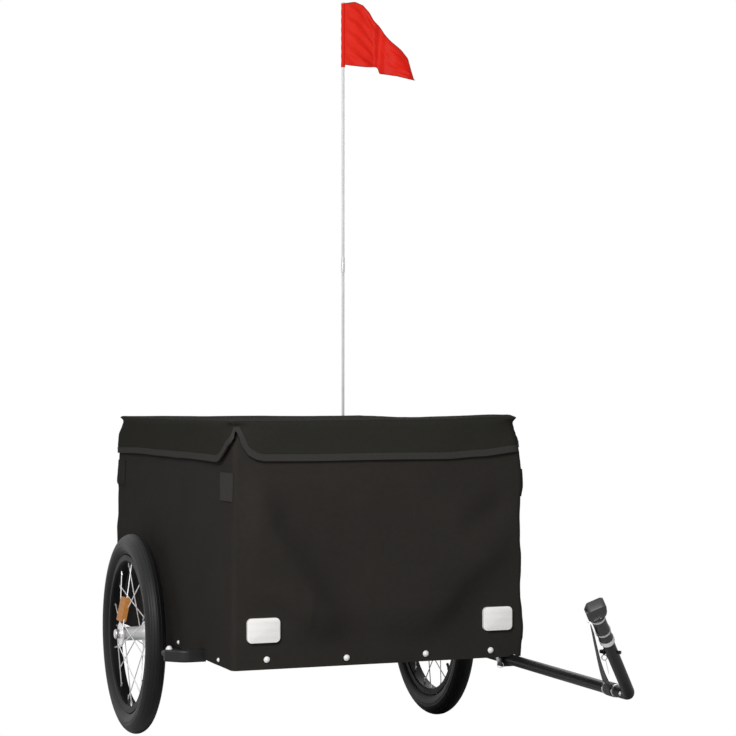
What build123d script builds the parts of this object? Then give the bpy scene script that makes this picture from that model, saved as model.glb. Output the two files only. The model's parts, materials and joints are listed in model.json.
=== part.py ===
from build123d import *
import os
from math import asin, atan2, cos, degrees, pi, sin, sqrt

# Two-wheeled cargo trailer for a bicycle: a steel tube frame with a fabric box, a lift-off
# cover, spoked wheels on plug-in axles, one bent tow arm on the left and a flag on a pole.
#
# Everything is first modelled with the trailer level: x = 0 at the axle and +X towards the
# tow hitch, y = 0 in the middle and +Y to the left, z = 0 on the ground. finish() then tips
# each piece nose-down about the axle until the arm's elbow rests on the ground, as the
# trailer parks. All sizes are in millimetres.

os.makedirs("parts", exist_ok=True)

# ---- Wheels
wheel_dia = 406.0            # outside of the tyre
tyre_width = 40.4
tyre_depth = 46.0            # tread to bead
tyre_facets = 12             # flats round the tyre's section
tyre_side_gap = 26.15        # between a tyre and the box's side
rim_lip = 3.3                # of the rim's flanges beyond its channel
rim_floor = 9.7              # from the channel to the spokes' side
rim_wall = 2.6
bead_gap = 0.3               # between the tyre's bead and the rim's flange
hub_length = 58.0
hub_flange_spacing = 50.0
hub_flange_dia = 48.0
hub_flange_width = 3.0
hub_barrel_dia = 28.0
hub_end_dia = 20.0
spoke_count = 20
spoke_dia = 2.2
spoke_lean = 68.0            # degrees that a spoke's rim end is ahead of its hub end
spoke_gap = 0.3              # between a spoke and what it is laced into
reflector_width = 42.0
reflector_height = 49.0
reflector_depth = 10.0
reflector_radius = 50.0      # its centre's distance from the axle
reflector_clear = 0.4        # round each spoke that it is clipped over

# ---- Axles
axle_dia = 12.7
axle_play = 0.05             # radial, hub on axle
socket_play = 0.1            # radial, axle in the frame's socket
socket_depth = 60.0
socket_stand_out = 5.0       # of the axle tube's end beyond the box
axle_cap_dia = 20.0
axle_cap_length = 9.0
hub_side_gap = 0.35          # between a turning hub and what stands beside it

# ---- Box of fabric
box_front = 535.0            # x of the front panel's outer face
box_rear = -310.0
box_width = 572.0
box_height = 449.2           # from the hem to the cover's top
panel_thick = 3.0
panel_top_gap = 2.0          # between the panels' top edge and the cover
box_corner_radius = 18.0
cutout_gap = 1.0             # round what passes through a panel
cover_thick = 3.0
cover_gap = 1.0              # between a panel and the flap that hangs over it
flap_drop = 73.0             # from the cover's top to a flap's lower edge
corner_drop = 14.0           # what is left of the flap right at a corner
notch_slope_width = 34.0     # of the sloping part of a corner notch
notch_width = 64.0           # from a corner to where the flap has its full drop
notch_round = 22.0

# ---- Frame
rail_size = 20.0             # square tube of the lower frame
rail_below_axle = 5.0        # of the rails' underside
hem_drop = 4.6               # of the hem below the rails
axle_tube_size = 25.0
axle_tube_round = 3.0
cross_rail_x = (-160.0, 300.0)
post_dia = 16.0
top_bend_radius = 20.0
floor_thick = 4.0
seat_gap = 0.3               # between soft goods and what carries them

# ---- Guard bars ahead of the wheels
bar_x = 350.0
bar_height = 22.0
bar_depth = 24.0
bar_drop = 9.5               # of the bar's underside below the rails
bar_straight = 38.0          # from the frame's side to the bend's corner
bar_swept = 36.0
bar_sweep_angle = 45.0
bar_wall = 2.0
bar_bend_radius = 18.0
bar_plug_length = 4.0
bar_plug_round = 3.0

# ---- Tow arm
arm_dia = 20.5
arm_wall = 2.0
arm_inset = 14.0             # of its centre from the box's left side
arm_drop = 11.6              # of its centre below the rails
arm_tail = 18.0              # of its rear end behind the rear clip
arm_reach = 453.0            # from the box's front to the elbow's corner
elbow_radius = 24.0
riser_reach = 93.5           # forward, from the elbow's corner to the riser's top
riser_inward = 94.7
riser_height = 110.0
clip_back = (221.0, 30.0)    # of the two clips behind the box's front
clip_length = 20.0
clip_wall = 4.0
clip_play = 0.15             # radial, between the arm and its clips
hem_gap = 0.6                # between a clip and the hem above it
pin_dia = 6.0
pin_play = 0.1               # radial
pin_head_dia = 12.0
pin_head_length = 4.0
riser_pin_back = 42.0        # from the riser's top down to its cross pin
riser_pin_stand_out = 5.0

# ---- Hitch
collar_wall = 2.2
collar_length = 9.0
coupling_dia = 23.0
coupling_length = 64.0
band_wall = 1.5
band_width = 4.0
band_places = (20.0, 58.0)   # from the riser's top
ring_gap = 0.1               # radial, between a ring and what it goes round
coupling_round = 1.5
foot_gap = 0.4               # between the coupling and the head that turns on it
head_turn = 30.0             # degrees that the head stands turned about the riser's line
head_width = 23.0            # along the bicycle axle's hole
head_depth = 21.0
head_height = 28.0
head_chamfer = 5.0
king_pin_dia = 10.0
king_pin_play = 0.05         # radial
king_pin_height = 9.0
bike_axle_hole_dia = 10.0    # takes the bicycle's rear axle
bike_axle_height = 18.5      # above the head's foot
keeper_dia = 3.0
keeper_height = 5.0          # above the head's foot
keeper_stand_out = 3.0

# ---- Safety strap
strap_width = 20.0
strap_thick = 2.4
strap_loop_back = 61.0       # of the loop round the arm, behind the elbow's corner
strap_end_back = 18.4        # of the strap's upper end from the coupling's end
strap_end_inward = 5.4
strap_end_drop = 17.2

# ---- Flag
pole_stand_off = 16.0        # of its centre behind the rear panel
pole_inset = 38.3            # of its centre from the box's left side
pole_dia = 6.4
pole_foot = 198.6            # of its lower end above the hem
lower_pole_length = 603.0
upper_pole_length = 612.0
ferrule_dia = 9.0
ferrule_length = 35.0
pole_play = 0.15             # radial
pocket_height = 164.0
pocket_wall = 3.0
flag_hoist = 149.0
flag_fly = 183.0
flag_thick = 1.6
flag_heading = 43.95         # degrees from +X, the way the flag flies
flag_top_gap = 3.0
flag_sleeve_dia = 10.0

# ---- Reflectors on the box
plate_width = 62.0
plate_height = 47.0
plate_depth = 6.0
plate_round = 6.0
plate_inset = 54.0           # of its centre from the box's side
plate_up = 72.6              # of its centre above the hem
plate_shift = 5.0            # of the front pair, to the left, as it is sewn on

# ---- Worked out from the above
wheel_radius = wheel_dia / 2
half_box = box_width / 2
half_track = half_box + tyre_side_gap + tyre_width / 2
rail_bottom = wheel_radius - rail_below_axle
box_bottom = rail_bottom - hem_drop
box_top = box_bottom + box_height
panel_top = box_top - cover_thick - panel_top_gap
rail_top = rail_bottom + rail_size
rail_front = box_front - panel_thick - seat_gap
rail_rear = box_rear + panel_thick + seat_gap
rail_side = half_box - panel_thick - seat_gap
frame_length = rail_front - rail_rear
frame_mid_x = (rail_front + rail_rear) / 2
box_mid_x = (box_front + box_rear) / 2
box_length = box_front - box_rear
post_radius = post_dia / 2
top_tube_inset = post_radius
post_inset = top_tube_inset + top_bend_radius * (1 - 1 / sqrt(2))
top_rail_z = panel_top - post_radius
arm_radius = arm_dia / 2
arm_y = half_box - arm_inset
arm_z = rail_bottom - arm_drop
clip_x = [box_front - back for back in clip_back]
arm_rear = clip_x[0] - arm_tail
elbow = Vector(box_front + arm_reach, arm_y, arm_z)
riser_top = elbow + Vector(riser_reach, -riser_inward, riser_height)
riser = (riser_top - elbow).normalized()
coupling_end = riser_top + riser * coupling_length
head_foot = coupling_end + riser * foot_gap
riser_side = riser.cross(Vector(0, 0, 1)).normalized() * -1
head_across = riser_side.rotate(Axis((0, 0, 0), riser), head_turn)
head_ahead = head_across.cross(riser)
strap_end = coupling_end - Vector(strap_end_back, strap_end_inward, strap_end_drop)
bar_bottom = rail_bottom - bar_drop
plate_y = half_box - plate_inset
plate_z = box_bottom + plate_up
pole_x = box_rear - pole_stand_off
pole_y = half_box - pole_inset
pole_bottom = box_bottom + pole_foot
pole_joint = pole_bottom + lower_pole_length
pole_top = pole_joint + upper_pole_length
pocket_top = pole_bottom + pocket_height
rim_channel_radius = wheel_radius - tyre_depth - bead_gap
rim_radius = rim_channel_radius + rim_lip
rim_inner_radius = rim_channel_radius - rim_floor
spoke_root = hub_flange_dia / 2 + spoke_dia / 2 + spoke_gap
forward = Vector(1, 0, 0)


def parked_angle():
    """Nose-down tip, in radians, at which the arm's elbow just touches the ground."""
    rise = (riser - forward * riser.X).normalized()
    turn = riser.get_angle(forward) / 180 * pi
    bend_start = elbow - forward * (elbow_radius * sin(turn) / (1 + cos(turn)))
    angle = 0.0
    for _ in range(20):
        along = atan2(sin(angle), cos(angle) * rise.Z)
        low = bend_start + forward * (elbow_radius * sin(along)) + rise * (elbow_radius * (1 - cos(along)))
        drop = wheel_radius - arm_radius + (low.Z - wheel_radius) * cos(angle)
        angle = asin(drop / low.X)
    return angle


tip = parked_angle()


def parked_x(x, z):
    """How far forward a level-trailer point lies once the trailer stands nose-down."""
    return x * cos(tip) + (z - wheel_radius) * sin(tip)


# ---- Hitch head, in line with the riser. It comes first, because it is the trailer's front end
keeper_off = king_pin_dia / 2 + keeper_dia / 2 + cutout_gap
head_base = Plane(origin=head_foot, x_dir=head_ahead, z_dir=riser)
head_side = Plane(origin=head_foot, x_dir=head_ahead, z_dir=head_across * -1)
with BuildPart() as hitch_head:
    with BuildSketch(head_base):
        RectangleRounded(head_depth, head_width, head_chamfer / 2)
    extrude(amount=head_height)
    top_edges = hitch_head.faces().sort_by(Axis(head_foot, riser))[-1].edges()
    chamfer(top_edges.sort_by(Axis(head_foot, head_ahead))[-1], length=head_chamfer / 2)
    with BuildSketch(head_base):
        Circle(king_pin_dia / 2 + king_pin_play)
    extrude(amount=king_pin_height, mode=Mode.SUBTRACT)
    with BuildSketch(head_side):
        with Locations((0, bike_axle_height)):
            Circle(bike_axle_hole_dia / 2)
        with Locations((keeper_off, keeper_height)):
            Circle(keeper_dia / 2 + pin_play)
    extrude(amount=head_width, both=True, mode=Mode.SUBTRACT)

TIPPED = Location((0, 0, wheel_radius), (0, degrees(tip), 0)) * Location((0, 0, -wheel_radius))
rear_end = parked_x(box_rear, box_bottom)
front_end = hitch_head.part.moved(TIPPED).bounding_box().max.X
PARKED = Location((-(rear_end + front_end) / 2, 0, 0)) * TIPPED


def finish(piece, name):
    """Tip a finished piece into the parked stance, label it and write its STEP file."""
    piece.part = piece.part.moved(PARKED)
    piece.part.label = name
    export_step(piece.part, f"parts/{name}.step")


sides = {"left": 1, "right": -1}

# ---- Lower frame: square tubes, with the axle tube through its side rails
with BuildPart() as side_rails:
    with BuildSketch(Plane.XY.offset(rail_bottom)):
        with Locations((frame_mid_x, rail_side - rail_size / 2), (frame_mid_x, -rail_side + rail_size / 2)):
            Rectangle(frame_length, rail_size)
    extrude(amount=rail_size)
    outer_corners = side_rails.edges().filter_by(Axis.Z).filter_by(lambda e: abs(abs(e.center().Y) - rail_side) < 1)
    fillet(outer_corners, radius=box_corner_radius - panel_thick - seat_gap)
    with BuildSketch(Plane.XZ.offset(-rail_side)):
        with Locations((0, wheel_radius)):
            Rectangle(axle_tube_size, axle_tube_size)
    extrude(amount=2 * rail_side, mode=Mode.SUBTRACT)
finish(side_rails, "side_rails")

with BuildPart() as cross_rails:
    with BuildSketch(Plane.XY.offset(rail_bottom)):
        for x in (rail_front - rail_size / 2, rail_rear + rail_size / 2, *cross_rail_x):
            with Locations((x, 0)):
                Rectangle(rail_size, 2 * (rail_side - rail_size))
    extrude(amount=rail_size)
finish(cross_rails, "cross_rails")

socket_face = half_box + socket_stand_out
with BuildPart() as axle_tube:
    with BuildSketch(Plane.XZ.offset(-socket_face)):
        with Locations((0, wheel_radius)):
            Rectangle(axle_tube_size, axle_tube_size)
    extrude(amount=2 * socket_face)
    for side in sides.values():
        with BuildSketch(Plane(origin=(0, side * socket_face, wheel_radius), z_dir=(0, -side, 0))):
            Circle(axle_dia / 2 + socket_play)
        extrude(amount=socket_depth, mode=Mode.SUBTRACT)
finish(axle_tube, "axle_tube")

post_places = [(x, y) for x in (rail_front - post_inset, rail_rear + post_inset)
               for y in (rail_side - post_inset, -rail_side + post_inset)]
notch = 2 * (post_inset + post_radius + seat_gap)
frame_corners = [(x, y) for x in (rail_front, rail_rear) for y in (rail_side, -rail_side)]
with BuildPart() as floor_panel:
    with BuildSketch(Plane.XY.offset(rail_top)):
        with Locations((frame_mid_x, 0)):
            Rectangle(frame_length, 2 * rail_side)
        with Locations(*frame_corners):
            Rectangle(notch, notch, mode=Mode.SUBTRACT)
    extrude(amount=floor_thick)
finish(floor_panel, "floor_panel")

# ---- Upper frame: four posts and a bent round tube round the top
with BuildPart() as corner_posts:
    with BuildSketch(Plane.XY.offset(rail_top)):
        with Locations(*post_places):
            Circle(post_radius)
    extrude(amount=top_rail_z - post_radius - rail_top)
finish(corner_posts, "corner_posts")

top_side = rail_side - top_tube_inset
with BuildPart() as top_rail:
    with BuildLine(Plane.XY.offset(top_rail_z)) as half_ring:
        FilletPolyline(
            (rail_front - top_tube_inset, 0),
            (rail_front - top_tube_inset, top_side),
            (rail_rear + top_tube_inset, top_side),
            (rail_rear + top_tube_inset, 0),
            radius=top_bend_radius,
        )
    with BuildSketch(Plane(origin=half_ring.line @ 0, z_dir=half_ring.line % 0)):
        Circle(post_radius)
    sweep(path=half_ring.line)
    mirror(about=Plane.XZ)
finish(top_rail, "top_rail")

# ---- Fabric box: four panels, with the box's rounded corners on the side panels
panel_height = panel_top - box_bottom
straight_side = half_box - box_corner_radius
bar_cut_top = bar_bottom + bar_height + cutout_gap
axle_cut_top = wheel_radius + axle_tube_size / 2 + cutout_gap
arm_section = Plane(origin=(arm_rear, arm_y, arm_z), z_dir=(1, 0, 0))
with BuildPart() as front_panel:
    with BuildSketch(Plane.XY.offset(box_bottom)):
        with Locations((box_front - panel_thick / 2, 0)):
            Rectangle(panel_thick, 2 * straight_side)
    extrude(amount=panel_height)
    with BuildSketch(arm_section):
        Circle(arm_radius + cutout_gap)
    extrude(amount=box_front, mode=Mode.SUBTRACT)
finish(front_panel, "front_panel")

with BuildPart() as rear_panel:
    with BuildSketch(Plane.XY.offset(box_bottom)):
        with Locations((box_rear + panel_thick / 2, 0)):
            Rectangle(panel_thick, 2 * straight_side)
    extrude(amount=panel_height)
finish(rear_panel, "rear_panel")

for name, side in sides.items():
    with BuildPart() as side_panel:
        with BuildSketch(Plane.XY.offset(box_bottom)):
            with Locations((box_mid_x, 0)):
                RectangleRounded(box_length, box_width, box_corner_radius)
                RectangleRounded(
                    box_length - 2 * panel_thick,
                    box_width - 2 * panel_thick,
                    box_corner_radius - panel_thick,
                    mode=Mode.SUBTRACT,
                )
            with Locations((box_mid_x, side * (straight_side + box_corner_radius / 2))):
                Rectangle(box_length, box_corner_radius, mode=Mode.INTERSECT)
        extrude(amount=panel_height)
        with BuildSketch(Plane.XZ):
            with Locations((bar_x, bar_cut_top / 2)):
                Rectangle(bar_depth + 2 * cutout_gap, bar_cut_top)
            with Locations((0, axle_cut_top / 2)):
                Rectangle(axle_tube_size + 2 * cutout_gap, axle_cut_top)
        extrude(amount=half_box, both=True, mode=Mode.SUBTRACT)
        with BuildSketch(arm_section):
            Circle(arm_radius + cutout_gap)
        extrude(amount=box_front, mode=Mode.SUBTRACT)
    finish(side_panel, f"{name}_panel")

# ---- Cover: a shallow tray of fabric upside down, its four flaps parted at the corners
skirt = cover_gap + cover_thick
flap_bottom = box_top - flap_drop
notch_top = box_top - corner_drop
with BuildPart() as cover:
    with BuildSketch(Plane.XY.offset(flap_bottom)):
        with Locations((box_mid_x, 0)):
            RectangleRounded(box_length + 2 * skirt, box_width + 2 * skirt, box_corner_radius + skirt)
    extrude(amount=flap_drop)
    with BuildSketch(Plane.XY.offset(flap_bottom)):
        with Locations((box_mid_x, 0)):
            RectangleRounded(
                box_length + 2 * cover_gap, box_width + 2 * cover_gap, box_corner_radius + cover_gap
            )
    extrude(amount=flap_drop - cover_thick, mode=Mode.SUBTRACT)
    corner_half = box_corner_radius / 2 + skirt
    for x_sign, x_end in ((1, box_front), (-1, box_rear)):
        for y_sign in sides.values():
            x_mid = x_end + x_sign * (skirt - box_corner_radius / 2)
            y_mid = y_sign * (half_box + skirt - box_corner_radius / 2)
            along_side = Plane(origin=(x_end, y_mid, 0), x_dir=(x_sign, 0, 0), z_dir=(0, -x_sign, 0))
            along_end = Plane(origin=(x_mid, y_sign * half_box, 0), x_dir=(0, y_sign, 0), z_dir=(y_sign, 0, 0))
            with BuildSketch(along_side, along_end):
                with BuildLine():
                    lower = FilletPolyline(
                        (2 * skirt, notch_top),
                        (0, notch_top),
                        (-notch_slope_width, flap_bottom),
                        (-notch_width, flap_bottom),
                        radius=(corner_drop / 4, notch_round),
                    )
                    below = flap_bottom - skirt
                    Polyline(lower @ 1, (-notch_width, below), (2 * skirt, below), lower @ 0)
                make_face()
            extrude(amount=corner_half, both=True, mode=Mode.SUBTRACT)
finish(cover, "cover")

# ---- Reflectors on the box: two white ones in front, two red ones behind
for name, face_x, x_sign, shift in (("front", box_front, 1, plate_shift), ("rear", box_rear, -1, 0)):
    with BuildPart() as plates:
        with BuildSketch(Plane(origin=(face_x, 0, plate_z), x_dir=(0, 1, 0), z_dir=(x_sign, 0, 0))):
            with Locations((shift + plate_y, 0), (shift - plate_y, 0)):
                RectangleRounded(plate_width, plate_height, plate_round)
        extrude(amount=plate_depth)
        outer_rim = plates.faces().sort_by(Axis.X)[-2:] if x_sign > 0 else plates.faces().sort_by(Axis.X)[:2]
        chamfer(outer_rim.edges(), length=plate_depth / 3)
    finish(plates, f"{name}_reflectors")

# ---- Guard bars: flat tubes that stand out ahead of each wheel and sweep back
for name, side in sides.items():
    sweep_back = Vector(-1, side, 0).normalized() * bar_swept
    root = Vector(bar_x, side * rail_side, bar_bottom + bar_height / 2)
    corner = root + Vector(0, side * bar_straight, 0)
    with BuildPart() as guard_bar:
        with BuildLine() as bar_path:
            FilletPolyline(root, corner, corner + sweep_back, radius=bar_bend_radius)
        with BuildSketch(Plane(origin=root, x_dir=(1, 0, 0), z_dir=(0, side, 0))):
            RectangleRounded(bar_depth, bar_height, bar_wall + 1)
            RectangleRounded(bar_depth - 2 * bar_wall, bar_height - 2 * bar_wall, 1, mode=Mode.SUBTRACT)
        sweep(path=bar_path.line)
    with BuildPart() as bar_plug:
        with BuildSketch(Plane(origin=bar_path.line @ 1, x_dir=(1, side, 0), z_dir=sweep_back)):
            RectangleRounded(bar_depth, bar_height, bar_wall + 1)
        extrude(amount=bar_plug_length)
        fillet(bar_plug.faces().sort_by(Axis((0, 0, 0), sweep_back))[-1].edges(), radius=bar_plug_round)
    finish(guard_bar, f"{name}_guard_bar")
    finish(bar_plug, f"{name}_bar_plug")

# ---- Tow arm: one tube, bent up and inwards at the elbow, held under the left rail by two clips
with BuildPart() as tow_arm:
    with BuildLine() as arm_path:
        FilletPolyline((arm_rear, arm_y, arm_z), elbow, riser_top, radius=elbow_radius)
    with BuildSketch(Plane(origin=arm_path.line @ 0, z_dir=(1, 0, 0))):
        Circle(arm_radius)
        Circle(arm_radius - arm_wall, mode=Mode.SUBTRACT)
    sweep(path=arm_path.line)
    lock_pin_plane = Plane(origin=(clip_x[1], arm_y, arm_z), z_dir=(0, -1, 0))
    riser_pin_plane = Plane(origin=riser_top - riser * riser_pin_back, z_dir=riser_side)
    with BuildSketch(lock_pin_plane, riser_pin_plane):
        Circle(pin_dia / 2 + pin_play)
    extrude(amount=arm_dia, both=True, mode=Mode.SUBTRACT)
finish(tow_arm, "tow_arm")

clip_top = box_bottom - hem_gap
clip_bottom = arm_z - arm_radius - clip_wall
clip_half = arm_radius + clip_wall
clip_seat = rail_side - seat_gap - arm_y
with BuildPart() as arm_clips:
    for x in clip_x:
        with BuildSketch(Plane(origin=(x, arm_y, 0), x_dir=(0, 1, 0), z_dir=(1, 0, 0))):
            with Locations((0, (clip_top + clip_bottom) / 2)):
                Rectangle(2 * clip_half, clip_top - clip_bottom)
            with Locations(((clip_seat - clip_half) / 2, (rail_bottom + arm_z) / 2)):
                Rectangle(clip_seat + clip_half, rail_bottom - arm_z)
            with Locations((0, arm_z)):
                Circle(arm_radius + clip_play, mode=Mode.SUBTRACT)
        extrude(amount=clip_length / 2, both=True)
    with BuildSketch(lock_pin_plane):
        Circle(pin_dia / 2 + pin_play)
    extrude(amount=arm_dia, both=True, mode=Mode.SUBTRACT)
finish(arm_clips, "arm_clips")

with BuildPart() as lock_pin:
    with BuildSketch(lock_pin_plane):
        Circle(pin_dia / 2)
    extrude(amount=clip_half + seat_gap, both=True)
    with BuildSketch(lock_pin_plane.offset(clip_half + seat_gap)):
        Circle(pin_head_dia / 2)
    extrude(amount=pin_head_length)
finish(lock_pin, "lock_pin")

with BuildPart() as riser_pin:
    with BuildSketch(riser_pin_plane):
        Circle(pin_dia / 2)
    extrude(amount=arm_radius + riser_pin_stand_out, both=True)
finish(riser_pin, "riser_pin")

# ---- Hitch: collar, rubber coupling with its bands, king pin, and the head that turns on it
with BuildPart() as riser_collar:
    with BuildSketch(Plane(origin=riser_top, z_dir=riser * -1)):
        Circle(arm_radius + ring_gap + collar_wall)
        Circle(arm_radius + ring_gap, mode=Mode.SUBTRACT)
    extrude(amount=collar_length)
finish(riser_collar, "riser_collar")

coupling_radius = coupling_dia / 2
with BuildPart() as flex_coupling:
    with BuildSketch(Plane(origin=riser_top, z_dir=riser)):
        Circle(coupling_radius)
    extrude(amount=coupling_length)
    fillet(flex_coupling.faces().sort_by(Axis(riser_top, riser))[-1].edges(), radius=coupling_round)
finish(flex_coupling, "flex_coupling")

with BuildPart() as coupling_bands:
    for place in band_places:
        with BuildSketch(Plane(origin=riser_top + riser * place, z_dir=riser)):
            Circle(coupling_radius + ring_gap + band_wall)
            Circle(coupling_radius + ring_gap, mode=Mode.SUBTRACT)
        extrude(amount=band_width)
finish(coupling_bands, "coupling_bands")

with BuildPart() as king_pin:
    with BuildSketch(Plane(origin=coupling_end, z_dir=riser)):
        Circle(king_pin_dia / 2)
    extrude(amount=king_pin_height)
finish(king_pin, "king_pin")
finish(hitch_head, "hitch_head")

with BuildPart() as keeper_pin:
    with BuildSketch(head_side):
        with Locations((keeper_off, keeper_height)):
            Circle(keeper_dia / 2)
    extrude(amount=head_width / 2 + keeper_stand_out, both=True)
finish(keeper_pin, "keeper_pin")

# ---- Safety strap: a webbing loop round the arm, led up to the coupling
loop_centre = elbow - forward * strap_loop_back
strap_run = strap_end - loop_centre
strap_rise = (strap_run - forward * strap_run.X).normalized()
strap_start = loop_centre + strap_rise * (arm_radius + seat_gap + strap_thick / 2)
with BuildPart() as safety_strap:
    with BuildSketch(Plane(origin=loop_centre, z_dir=(1, 0, 0))):
        Circle(arm_radius + seat_gap + strap_thick)
        Circle(arm_radius + seat_gap, mode=Mode.SUBTRACT)
    extrude(amount=strap_width / 2, both=True)
    strap_line = strap_end - strap_start
    flat = strap_line.cross(forward).normalized()
    with BuildSketch(Plane(origin=strap_start, x_dir=strap_line.cross(flat) * -1, z_dir=strap_line)):
        Rectangle(strap_width, strap_thick)
    extrude(amount=strap_line.length)
    with BuildSketch(Plane(origin=loop_centre, z_dir=(1, 0, 0))):
        Circle(arm_radius + seat_gap)
    extrude(amount=strap_width, both=True, mode=Mode.SUBTRACT)
finish(safety_strap, "safety_strap")

# ---- Flag: a two-piece pole in a pocket on the rear panel, and the flag at its top
with BuildPart() as pole_pocket:
    outer = pole_dia / 2 + pole_play + pocket_wall
    back = box_rear - pole_x
    with BuildSketch(Plane.XY.offset(pole_bottom - pocket_wall)):
        with Locations((pole_x, pole_y)):
            Circle(outer)
        with Locations((pole_x + back / 2, pole_y)):
            Rectangle(back, 2 * outer)
    extrude(amount=pocket_top - pole_bottom + pocket_wall)
    with BuildSketch(Plane.XY.offset(pole_bottom)):
        with Locations((pole_x, pole_y)):
            Circle(pole_dia / 2 + pole_play)
    extrude(amount=pocket_top - pole_bottom, mode=Mode.SUBTRACT)
finish(pole_pocket, "pole_pocket")

for name, low, high in (("lower", pole_bottom, pole_joint), ("upper", pole_joint, pole_top)):
    with BuildPart() as pole:
        with BuildSketch(Plane.XY.offset(low)):
            with Locations((pole_x, pole_y)):
                Circle(pole_dia / 2)
        extrude(amount=high - low)
    finish(pole, f"{name}_pole")

with BuildPart() as pole_ferrule:
    with BuildSketch(Plane.XY.offset(pole_joint - ferrule_length / 2)):
        with Locations((pole_x, pole_y)):
            Circle(ferrule_dia / 2)
            Circle(pole_dia / 2 + pole_play, mode=Mode.SUBTRACT)
    extrude(amount=ferrule_length)
finish(pole_ferrule, "pole_ferrule")

flag_top = pole_top - flag_top_gap
flag_plane = Plane(
    origin=(pole_x, pole_y, flag_top),
    x_dir=Vector(1, 0, 0).rotate(Axis.Z, flag_heading),
    z_dir=Vector(0, -1, 0).rotate(Axis.Z, flag_heading),
)
with BuildPart() as flag:
    with BuildSketch(flag_plane):
        with BuildLine():
            hoist = Line((0, -flag_hoist), (0, 0))
            top_edge = Line((0, 0), (0.16 * flag_fly, 0))
            leech = Spline(
                top_edge @ 1,
                (0.5 * flag_fly, -0.42 * flag_hoist),
                (0.88 * flag_fly, -0.86 * flag_hoist),
                (0.96 * flag_fly, -1.18 * flag_hoist),
            )
            Polyline(leech @ 1, (0.46 * flag_fly, -1.08 * flag_hoist), hoist @ 0)
        make_face()
    extrude(amount=flag_thick / 2, both=True)
    with BuildSketch(Plane.XY.offset(flag_top - flag_hoist)):
        with Locations((pole_x, pole_y)):
            Circle(flag_sleeve_dia / 2)
    extrude(amount=flag_hoist)
    with BuildSketch(Plane.XY.offset(flag_top - 2 * flag_hoist)):
        with Locations((pole_x, pole_y)):
            Circle(pole_dia / 2 + pole_play)
    extrude(amount=3 * flag_hoist, mode=Mode.SUBTRACT)
finish(flag, "flag")

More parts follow.
